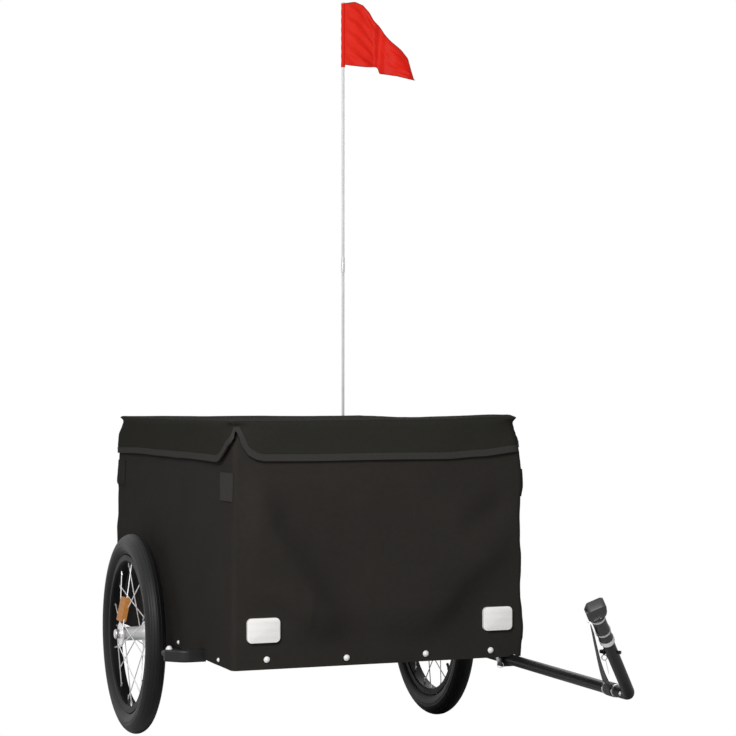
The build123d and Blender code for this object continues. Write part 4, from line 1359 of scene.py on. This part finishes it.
# %% One domed bolt
WASHER = 0.0012
DOME_RINGS = 6


def dome_bolt(radius, height, segments=20):
    """A domed head on a thin washer, its base on the origin and its top along +Z."""
    bolt = primitive(
        "cylinder", "bolt", vertices=segments, radius=radius * 1.18, depth=WASHER,
        location=(0, 0, WASHER / 2),
    )
    with edit_mode(bolt):
        pick("faces", lambda face: face.normal.z > 0.9)
        bpy.ops.mesh.inset(thickness=radius * 0.18)
        for step in range(1, DOME_RINGS):
            angle = math.radians(90) * step / DOME_RINGS
            last = math.radians(90) * (step - 1) / DOME_RINGS
            shrink = math.cos(angle) / math.cos(last)
            rise = height * (math.sin(angle) - math.sin(last))
            bpy.ops.mesh.extrude_region_move(TRANSFORM_OT_translate={"value": (0, 0, rise)})
            bpy.ops.transform.resize(value=(shrink, shrink, 1))
        bpy.ops.mesh.extrude_region_move(TRANSFORM_OT_translate={"value": (0, 0, height * 0.034)})
        bpy.ops.mesh.merge(type="CENTER")
    outwards(bolt)
    return bolt


# %% The hem's bolts, each a copy of one of two sizes
hem_bolt, side_bolt = dome_bolt(0.0048, 0.0036), dome_bolt(0.0034, 0.0024)
BOLT_HEIGHT, SIDE_BOLT_HEIGHT = 0.2077, 0.2045
BOLT_PROUD = 0.0008
placed = []
for across, lift_up in ((-0.220, 0.004), (-0.066, 0.0), (0.0915, 0.0), (0.2245, 0.0)):
    in_front = (wall_high.x + BOLT_PROUD, across, BOLT_HEIGHT + lift_up)
    behind = (wall_low.x - BOLT_PROUD, across, BOLT_HEIGHT)
    placed += [(hem_bolt, facing((1, 0, 0), in_front)), (hem_bolt, facing((-1, 0, 0), behind))]
for along in (0.458, 0.185, -0.090, -0.245):
    on_left = (along, wall_high.y + BOLT_PROUD, SIDE_BOLT_HEIGHT)
    on_right = (along, wall_low.y - BOLT_PROUD, SIDE_BOLT_HEIGHT)
    placed += [(side_bolt, facing((0, 1, 0), on_left)), (side_bolt, facing((0, -1, 0), on_right))]
bolts = join([copy_of(bolt, spot) for bolt, spot in placed], "hem_bolts")
bpy.data.objects.remove(side_bolt)
bpy.data.objects.remove(hem_bolt)
put_on(bolts, "trailer", white_plastic, 40)
print(f"{len(placed)} hem bolts")

# %% [markdown]
# A tyre is a profile spun round the axle: bead, sidewall with fine moulded rings, rounded
# shoulder and a crown with a few shallow grooves. Nearly slick tyres roll easily on a road.

# %% The tyre's profile
TYRE_WIDTH = 0.0404
TYRE_DEPTH = 0.0460
GROOVES = (-40, -20, 0, 20, 40)
BEAD_TURN, SECTION_TURN, SECTION_STEPS = -62, 304, 116


def profile_point(turn, shrink=0.0):
    """A point of the tyre's section: across the wheel, and out from the axle."""
    across = (TYRE_WIDTH / 2 - shrink) * math.cos(turn)
    out = WHEEL_RADIUS - TYRE_DEPTH / 2 * (1 - math.sin(turn)) - shrink * math.sin(turn)
    return across, out


section = []
for step in range(SECTION_STEPS + 1):
    turn = math.radians(BEAD_TURN + SECTION_TURN * step / SECTION_STEPS)
    off_crown = math.degrees(turn) - 90
    ring = 0.0004 * (abs(abs(off_crown) - 78) < 3) + 0.0004 * (abs(abs(off_crown) - 96) < 3)
    groove = 0.0006 * any(abs(off_crown - place) < 2.0 for place in GROOVES)
    section.append(profile_point(turn, 0.0004 - ring + groove))
casing = spin("casing", [(out, across, 0.0) for across, out in section], (0, 1, 0), 120)
print(f"casing: {len(casing.data.polygons)} faces")

# %% Both tyres, each on its wheel
WHEELS = {"left": HALF_TRACK, "right": -HALF_TRACK}


def to_wheel(side):
    """Matrix that takes a piece from the origin to a wheel's middle."""
    return Matrix.Translation((0, WHEELS[side], WHEEL_RADIUS))


for side in WHEELS:
    tyre = copy_of(casing, to_wheel(side))
    tyre.name = f"{side}_tyre_dressed"
    put_on(tyre, f"{side}_wheel", tyre_rubber, 32)
    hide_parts(f"{side}_tyre")
bpy.data.objects.remove(casing)

# %% [markdown]
# Each spoke ends in a brass nipple at the rim, and each rim has one valve stem. Both are small
# turned parts: a profile spun round the Z axis and turned to its place on the rim.

# %% Valve stems


def turned(name, points, steps=16):
    """A turned part: a profile of (radius, height) points spun round the Z axis."""
    return spin(name, [(radius, 0.0, height) for radius, height in points], (0, 0, 1), steps)


rim = [LEVEL @ vertex.co for vertex in nodes["left_rim"].data.vertices]
rim_inner = min(math.hypot(point.x, point.z - WHEEL_RADIUS) for point in rim)
print(f"the rim's inner radius is {rim_inner:.4f} m")
VALVE_ANGLE = math.radians(-45)
VALVE_SINK = 0.0285
stem = turned(
    "stem",
    [
        (0.0, 0.0), (0.0022, 0.0), (0.0030, 0.0008), (0.0030, 0.0110), (0.0042, 0.0130),
        (0.0042, 0.0240), (0.0060, 0.0262), (0.0060, 0.0290), (0.0, 0.0290),
    ],
)
for side in WHEELS:
    way = Vector((math.cos(VALVE_ANGLE), 0, math.sin(VALVE_ANGLE)))
    place = Vector((0, WHEELS[side], WHEEL_RADIUS)) + way * (rim_inner - VALVE_SINK)
    valve = copy_of(stem, facing(way, place))
    valve.name = f"{side}_valve"
    put_on(valve, f"{side}_wheel", black_plastic, 35)
bpy.data.objects.remove(stem)

# %% Spoke nipples, in turn on either side of the rim's middle
SPOKES = 20
NIPPLE_SINK, NIPPLE_ASIDE = 0.0088, 0.0026
nipple = turned(
    "nipple",
    [
        (0.0, 0.0), (0.0015, 0.0), (0.0019, 0.0012), (0.0019, 0.0080), (0.0026, 0.0095),
        (0.0, 0.0095),
    ],
    steps=10,
)
for side in WHEELS:
    copies = []
    for number in range(SPOKES):
        angle = math.tau * number / SPOKES + math.radians(90)
        way = Vector((math.cos(angle), 0, -math.sin(angle)))
        flank = 1 if number % 2 else -1
        hub = Vector((0, WHEELS[side] + flank * NIPPLE_ASIDE, WHEEL_RADIUS))
        copies.append(copy_of(nipple, facing(way, hub + way * (rim_inner - NIPPLE_SINK))))
    nipples = join(copies, f"{side}_nipples")
    put_on(nipples, f"{side}_wheel", satin_alloy, 35)
bpy.data.objects.remove(nipple)
print(f"{SPOKES} nipples on each wheel")

# %% [markdown]
# A guard bar stands out ahead of each wheel. Its end carries a soft knob with a rounded face,
# and a white dome sits on its outer run.

# %% Bar knobs and domes
DOME_X, DOME_Y = 0.3260, 0.3445
bar_top = level_box("right_guard_bar")[1].z
knob_parts, dome_parts = [], []
bar_dome = dome_bolt(0.0056, 0.0055, segments=28)
for side, sign in (("left", 1), ("right", -1)):
    plug_low, plug_high = level_box(f"{side}_bar_plug")
    sweep = Vector((-1, sign, 0)).normalized()
    plug_middle = (plug_low + plug_high) / 2
    knob = primitive("cylinder", "knob", vertices=24, radius=0.0062, depth=0.004)
    with edit_mode(knob):
        pick("faces", lambda face: face.normal.z > 0.9)
        for rise, shrink in ((0.0030, 0.93), (0.0022, 0.82), (0.0012, 0.62)):
            bpy.ops.mesh.extrude_region_move(TRANSFORM_OT_translate={"value": (0, 0, rise)})
            bpy.ops.transform.resize(value=(shrink, shrink, 1))
    outwards(knob)
    knob.data.transform(facing(sweep, plug_middle + sweep * 0.0035 + Vector((0, 0, 0.0035))))
    knob_parts.append(knob)
    dome_place = Vector((DOME_X, sign * DOME_Y, bar_top + 0.0002))
    dome_parts.append(copy_of(bar_dome, Matrix.Translation(dome_place)))
bpy.data.objects.remove(bar_dome)
knobs = join(knob_parts, "bar_knobs")
put_on(knobs, "trailer", black_plastic, 40)
domes = join(dome_parts, "bar_domes")
put_on(domes, "trailer", white_plastic, 40)
print(f"knobs and domes on bars {bar_top:.4f} m high")

# %% [markdown]
# The tow arm carries small things that show how it is used: a ring on the head of its lock
# pin, a nub with a spring ring and a wire on the cross pin of the riser, and a bolt near the
# elbow. Rings and wires are curves with a round bevel, turned into meshes.

# %% Wire from points


def wire(name, points, radius, closed=False):
    """A round wire through points, as a mesh."""
    curve = bpy.data.curves.new(name, "CURVE")
    curve.dimensions = "3D"
    curve.bevel_depth = radius
    curve.bevel_resolution = 3
    curve.resolution_u = 8
    curve.use_fill_caps = not closed
    spline = curve.splines.new("NURBS")
    spline.points.add(len(points) - 1)
    for point, place in zip(spline.points, points):
        point.co = (*place, 1)
    spline.order_u = 3
    spline.use_endpoint_u = not closed
    spline.use_cyclic_u = closed
    obj = bpy.data.objects.new(name, curve)
    bpy.context.collection.objects.link(obj)
    alone(obj)
    bpy.ops.object.convert(target="MESH")
    outwards(obj)
    return obj


def ring_points(centre, across, up, count=16):
    """Points of an oval ring round a centre, between two directions."""
    turns = [math.tau * i / count for i in range(count)]
    return [centre + across * math.cos(turn) + up * math.sin(turn) for turn in turns]


# %% The lock pin's ring
pin_low, pin_high = level_box("lock_pin")
pin_head = Vector(((pin_low.x + pin_high.x) / 2, pin_low.y, (pin_low.z + pin_high.z) / 2))
lock_ring_centre = pin_head + Vector((0.009, 0.002, -0.0105))
lock_ring = wire(
    "lock_pin_ring",
    ring_points(lock_ring_centre, Vector((0.0080, 0.003, 0)), Vector((0, 0, 0.0060))),
    0.0004, closed=True,
)
put_on(lock_ring, "trailer", satin_alloy, 40)

# %% The riser's cross pin: a nub at its end, with a spring ring and a wire
swivel = joints["hitch_swivel"]
COUPLING_END = LEVEL @ Vector(swivel["pos_m"])
RISER = (LEVEL.to_3x3() @ Vector(swivel["axis"])).normalized()
if RISER.z < 0:
    RISER = -RISER
riser_pin_low, riser_pin_high = level_box("riser_pin")
pin_centre = (riser_pin_low + riser_pin_high) / 2
pin_way = RISER.cross(Vector((0, 0, 1))).normalized() * -1
print("cross pin at", tuple(round(part, 4) for part in pin_centre))
nub = turned(
    "nub",
    [
        (0.0, 0.0), (0.0042, 0.0), (0.0050, 0.0010), (0.0050, 0.0035), (0.0036, 0.0050),
        (0.0030, 0.0095), (0.0, 0.0105),
    ],
)
nub.data.transform(facing(-pin_way, pin_centre - pin_way * (ARM_RADIUS + 0.0005)))
nub.name = "pin_nub"
put_on(nub, "trailer", black_coat, 35)
RIGHTWARD = Vector((0.361, 0.9325, 0)).normalized()
PIN_RING = 0.0044
ring_root = pin_centre - pin_way * (ARM_RADIUS + 0.0050)
ring_centre = ring_root + RIGHTWARD * 0.0025 - Vector((0, 0, 0.0098))
spring_ring = wire(
    "pin_ring", ring_points(ring_centre, RIGHTWARD * PIN_RING, Vector((0, 0, PIN_RING))), 0.0009,
    closed=True,
)
tether_steps = ((0.0021, -0.0044), (0.0034, -0.011), (0.0052, -0.0185), (0.0072, -0.0265))
tether_points = [ring_centre + RIGHTWARD * aside + Vector((0, 0, up)) for aside, up in tether_steps]
tether = wire("pin_wire", tether_points, 0.0005)
spring_ring = join([spring_ring, tether], "pin_ring")
put_on(spring_ring, "trailer", satin_alloy, 40)

# %% The bolt near the elbow
elbow_bolt = dome_bolt(0.0031, 0.0020)
bolt_place = (0.974, ARM_ACROSS - ARM_RADIUS + 0.0006, ARM_HEIGHT)
elbow_bolt.data.transform(facing((0, -1, 0.0), bolt_place))
elbow_bolt.name = "elbow_bolt"
put_on(elbow_bolt, "trailer", satin_alloy, 40)

# %% [markdown]
# The hitch head is a cast block that hangs on the king pin. Its outline is drawn as seen along
# the bicycle, extruded to the block's depth and bevelled. Three cylinders then drill it: the
# axle's hole, the king pin's seat and the keeper pin's hole. HEAD_ACROSS is the axle's direction.

# %% The hitch head
keeper_low, keeper_high = level_box("keeper_pin")
HEAD_ACROSS = Vector((0.3925, 0.8351, 0.3854)).normalized()
keeper_ahead = (keeper_low + keeper_high) / 2 - COUPLING_END
keeper_up = keeper_ahead.dot(RISER)
keeper_ahead -= RISER * keeper_up
HEAD_OUTLINE = (
    (-0.0080, 0.0282), (0.0150, 0.0290), (0.0200, 0.0258), (0.0180, 0.0125), (0.0150, 0.0045),
    (0.0100, 0.0005), (-0.0095, 0.0005), (-0.0150, 0.0060), (-0.0148, 0.0165),
)
HEAD_DEPTH = 0.021
AXLE_HOLE, KEEPER_HOLE = 0.0051, 0.0017
head = from_points(
    "hitch_body", [(-HEAD_DEPTH / 2, across, up) for across, up in HEAD_OUTLINE],
    faces=[range(len(HEAD_OUTLINE))],
)
with edit_mode(head):
    bpy.ops.mesh.select_all(action="SELECT")
    bpy.ops.mesh.extrude_region_move(TRANSFORM_OT_translate={"value": (HEAD_DEPTH, 0, 0)})
outwards(head)
modify(head, "BEVEL", width=0.0022, segments=3, limit_method="ANGLE")
for radius, depth, middle, turn in (
    (AXLE_HOLE, 0.06, (0, 0, 0.0189), (math.radians(90), 0, 0)),
    (AXLE_HOLE, 0.02, (0, 0, -0.0006), (0, 0, 0)),
    (KEEPER_HOLE, 0.06, (keeper_ahead.length, 0, keeper_up), (math.radians(90), 0, 0)),
):
    drill = primitive(
        "cylinder", "drill", vertices=32, radius=radius, depth=depth, location=middle, rotation=turn
    )
    modify(head, "BOOLEAN", object=drill, operation="DIFFERENCE", solver="EXACT")
    bpy.data.objects.remove(drill)
smooth(head, 35)
ahead = keeper_ahead.normalized()
stand = Matrix((ahead, HEAD_ACROSS, RISER)).transposed()
if stand.determinant() < 0:
    for vertex in head.data.vertices:
        vertex.co.y = -vertex.co.y
    stand = Matrix((ahead, -HEAD_ACROSS, RISER)).transposed()
head.data.transform(Matrix.Translation(COUPLING_END) @ stand.to_4x4())
put_on(head, "hitch", head_coat)
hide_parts("hitch_head")
print(f"head: {len(head.data.polygons)} faces, its keeper pin {keeper_ahead.length:.4f} m ahead")

# %% A cap on the keeper pin
keeper_cap = dome_bolt(0.0030, 0.0020)
cap_place = (keeper_low + keeper_high) / 2 - HEAD_ACROSS * 0.0152
keeper_cap.data.transform(facing(-HEAD_ACROSS, cap_place))
keeper_cap.name = "keeper_cap"
put_on(keeper_cap, "hitch", white_plastic, 40)

# %% [markdown]
# The safety strap is flat webbing. It wraps the arm, held by a steel band at each side, and
# twists on its way up to the coupling, so it looks wide at the arm and narrow at the top. A
# strip is extruded row by row: each row is turned a little more about the strap's line.

# %% The strap's line and its twist
STRAP_WIDTH = 0.022
STRAP_THICK = 0.0015
STRAP_BACK = Vector((0.927, ARM_ACROSS, ARM_HEIGHT))
STRAP_END = COUPLING_END - Vector((0.0151, 0.0004, 0.0224))
STRAP_FACES = ((0.0, 0.72), (0.08, 0.68), (0.27, 0.58), (0.45, 0.46), (0.63, 0.36), (1.0, 0.26))
STRAP_SAG, STRAP_TAPER = 0.010, 0.25


def ribbon(name, rows, thickness):
    """A strip of webbing through rows of (place, half width), with a UV map along it."""
    points = [place + way * side for place, way in rows for side in (-1, -0.5, 0, 0.5, 1)]
    faces = [
        (5 * row + i, 5 * row + i + 1, 5 * row + i + 6, 5 * row + i + 5)
        for row in range(len(rows) - 1) for i in range(4)
    ]
    obj = from_points(name, points, faces=faces)
    layer = obj.data.uv_layers.new(name="cloth")
    lengths = [0.0]
    for (a, _), (b, _) in zip(rows, rows[1:]):
        lengths.append(lengths[-1] + (b - a).length)
    for loop in obj.data.loops:
        row, i = divmod(loop.vertex_index, 5)
        layer.data[loop.index].uv = (lengths[row], (i - 2) * rows[row][1].length / 2)
    modify(obj, "SOLIDIFY", thickness=thickness, offset=0.0)
    modify(obj, "BEVEL", width=thickness * 0.25, segments=2, limit_method="ANGLE")
    smooth(obj, 50)
    return obj


# %% The loop round the arm, and the run up to the coupling
ring_radius = ARM_RADIUS + STRAP_THICK / 2 + 0.0003
half_width = Vector((STRAP_WIDTH / 2, 0, 0))
loop_rows = [
    (STRAP_BACK + Vector((0, math.cos(turn), math.sin(turn))) * ring_radius, half_width)
    for turn in (math.tau * step / 32 for step in range(33))
]
strap_loop = ribbon("strap_loop", loop_rows, STRAP_THICK)
rise = STRAP_END - STRAP_BACK
rise = (rise - Vector((rise.x, 0, 0))).normalized()
start = STRAP_BACK + rise * (ring_radius + STRAP_THICK * 0.4)
run = STRAP_END - start
broadside = (RIGHTWARD - run.normalized() * RIGHTWARD.dot(run.normalized())).normalized()
edgewise = broadside.cross(run.normalized())
if edgewise.x < 0:
    edgewise = -edgewise
rows = []
for step in range(25):
    share = step / 24
    shown = straight_between(share, STRAP_FACES)
    across = broadside * shown + edgewise * math.sqrt(1 - shown**2)
    place = start + run * share + Vector((0, 0, -STRAP_SAG * math.sin(math.pi * share)))
    rows.append((place, across * STRAP_WIDTH / 2 * (1 - STRAP_TAPER * share)))
strap_run = ribbon("strap_run", rows, STRAP_THICK)
strap = join([strap_run, strap_loop], "safety_webbing")
put_on(strap, "trailer", webbing)
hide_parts("safety_strap")
print(f"strap {run.length:.3f} m long")

# %% The steel bands beside the strap
BAND_ASIDE = 0.0165
band_parts = []
for offset in (-BAND_ASIDE, BAND_ASIDE):
    band = primitive(
        "cylinder", "band", vertices=32, radius=ARM_RADIUS + 0.0010, depth=0.0050,
        location=STRAP_BACK + Vector((offset, 0, 0)), rotation=(0, math.radians(90), 0),
    )
    with edit_mode(band):
        pick("faces", lambda face: abs(face.normal.x) > 0.9)
        bpy.ops.mesh.inset(thickness=0.0011)
        bpy.ops.mesh.delete(type="FACE")
    outwards(band)
    modify(band, "BEVEL", width=0.0004, segments=2, limit_method="ANGLE")
    band_parts.append(band)
bands = join(band_parts, "strap_bands")
put_on(bands, "trailer", bright_steel, 40)
print(f"strap_bands: {len(bands.data.polygons)} faces")

# %% [markdown]
# The flag is thin, glossy nylon on a sleeve round the pole's top. It is a grid whose columns run
# down between the flag's upper and lower edge. It is not flat: waves run down from the
# hoist, and one upright fold near the middle turns the cloth back on itself, which is why the
# lower edge has a step there.

# %% The flag's outline
flag_top = level_box("flag")[1].z
pole_low, pole_high = level_box("upper_pole")
pole_x, pole_y = (pole_low.x + pole_high.x) / 2, (pole_low.y + pole_high.y) / 2
FLAG_HEADING = math.radians(43.95)
FLAG_FLY = 0.178
HOIST = 0.149
fly_way = Vector((math.cos(FLAG_HEADING), math.sin(FLAG_HEADING), 0))
fly_side = Vector((-math.sin(FLAG_HEADING), math.cos(FLAG_HEADING), 0))
UPPER_EDGE = (
    (0.0, 0.0), (0.16, 0.0), (0.28, -0.07), (0.38, -0.20), (0.42, -0.30), (0.54, -0.51),
    (0.66, -0.66), (0.82, -0.82), (0.92, -0.955), (0.96, -1.12), (1.0, -1.275),
)
LOWEST = 1.285
LOWER_EDGE = (
    (0.0, -0.955), (0.2, -1.0), (0.48, -1.045), (0.505, -1.145), (0.75, -1.20), (1.0, -LOWEST)
)
print(f"the flag hangs {LOWEST * HOIST:.4f} m down from {flag_top:.3f} m")

# %% The flag's cloth: a grid laid between its edges, waved and folded
FLAG_CLOTH = 0.0004
FLAG_WAVE, FLAG_FLUTTER, FLAG_FOLD = 0.0060, 0.0010, 0.0080
flag = primitive(
    "grid", "flag_cloth", x_subdivisions=64, y_subdivisions=36, size=1, location=(0.5, 0.5, 0)
)
flag_uv = flag.data.uv_layers[0]
hems = {0.0: [], 1.0: []}
for vertex in flag.data.vertices:
    fly, up = vertex.co.x, vertex.co.y
    upper, lower = straight_between(fly, UPPER_EDGE), straight_between(fly, LOWER_EDGE)
    height = flag_top + HOIST * (lower + (upper - lower) * up)
    loose = soft_step(fly, 0.03, 0.35)
    flutter = FLAG_FLUTTER * loose * math.sin(21.0 * fly - 3.0 * up + 1.0)
    wave = FLAG_WAVE * loose * math.sin(9.0 * fly + 2.2 * up) + flutter
    fold = FLAG_FOLD * soft_step(fly, 0.44, 0.485) - FLAG_FOLD * soft_step(fly, 0.50, 0.60)
    drape = 0.0020 * loose * ripple((fly, up, 0.3), 7.0, 3.0)
    pulled = soft_step(fly, 0.02, 0.10) * (1 - soft_step(fly, 0.36, 0.50))
    strain = 0.0007 * pulled * math.sin(61.0 * (up + 0.5 * fly))
    drape += 0.0021 * pulled * math.sin(27.0 * (up + 0.8 * fly)) + strain
    on_pole = Vector((pole_x, pole_y, height))
    vertex.co = on_pole + fly_way * (0.0030 + fly * FLAG_FLY) + fly_side * (wave + fold + drape)
    if abs(up - round(up)) < 0.001:
        hems[float(round(up))].append((fly, vertex.co.copy()))
for loop in flag.data.loops:
    place = flag.data.vertices[loop.vertex_index].co
    flag_uv.data[loop.index].uv = ((place - Vector((pole_x, pole_y, 0))).dot(fly_way), place.z)
modify(flag, "SOLIDIFY", thickness=FLAG_CLOTH, offset=0.0)
smooth(flag, 60)

# %% The hem round the flag, and the sleeve on the pole
HEM_RADIUS = 0.0009
SLEEVE_BORE, SLEEVE_RADIUS = 0.0035, 0.0046
hem_lines = [sorted(points, key=lambda pair: pair[0]) for points in hems.values()]
hem_wires = [wire("hem", [place for fly, place in line], HEM_RADIUS) for line in hem_lines]
hem = join(hem_wires, "flag_hem")
lay_uv(hem)
put_on(hem, "flagpole", hem_cloth, 60)
puckers = [(SLEEVE_RADIUS + 0.0004 * math.sin(1.9 * i), HOIST * i / 24) for i in range(1, 24)]
sleeve = turned(
    "flag_sleeve",
    [(SLEEVE_BORE, 0.0), (SLEEVE_RADIUS, 0.0002), *puckers, (SLEEVE_RADIUS, 0.1488),
     (SLEEVE_BORE, HOIST)],
    steps=24,
)
sleeve.data.transform(Matrix.Translation((pole_x, pole_y, flag_top - HOIST)))
lay_uv(sleeve)
put_on(flag, "flagpole", flag_cloth)
put_on(sleeve, "flagpole", flag_cloth, 60)
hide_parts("flag")
print(f"flag_sleeve: {len(sleeve.data.polygons)} faces, flag_hem: {len(hem.data.polygons)} faces")

# %% [markdown]
# The pole stands in a sewn pocket behind the rear wall: a tube of webbing with a stitched band
# at its top and foot, closed below. It is spun from a slightly uneven profile, so it looks sewn
# and not machined.

# %% The pole's pocket
pocket_low, pocket_high = level_box("pole_pocket")
pocket_radius = (pocket_high.y - pocket_low.y) / 2 - 0.0006
pocket_rise = pocket_high.z - pocket_low.z
POCKET_BORE = 0.0036
POCKET_FLOOR = 0.004
profile = [(0.0, 0.0), (pocket_radius * 0.7, 0.0), (pocket_radius - 0.0006, 0.0012)]
for step in range(1, 40):
    share = step / 40
    band = 0.0006 * (share < 0.12 or share > 0.88 or abs(share - 0.5) < 0.06)
    uneven = 0.0002 * math.sin(7.0 * share * math.tau)
    profile.append((pocket_radius - 0.0007 + band + uneven, pocket_rise * share))
profile += [
    (pocket_radius, pocket_rise - 0.0003), (POCKET_BORE, pocket_rise),
    (POCKET_BORE, POCKET_FLOOR), (0.0, POCKET_FLOOR),
]
pocket = turned("pocket_sleeve", profile, steps=36)
pocket.data.transform(Matrix.Translation((pole_x, pole_y, pocket_low.z)))
lay_uv(pocket)
put_on(pocket, "trailer", webbing, 40)
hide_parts("pole_pocket")
print(f"pocket_sleeve: {len(pocket.data.polygons)} faces, {pocket_rise:.3f} m high")
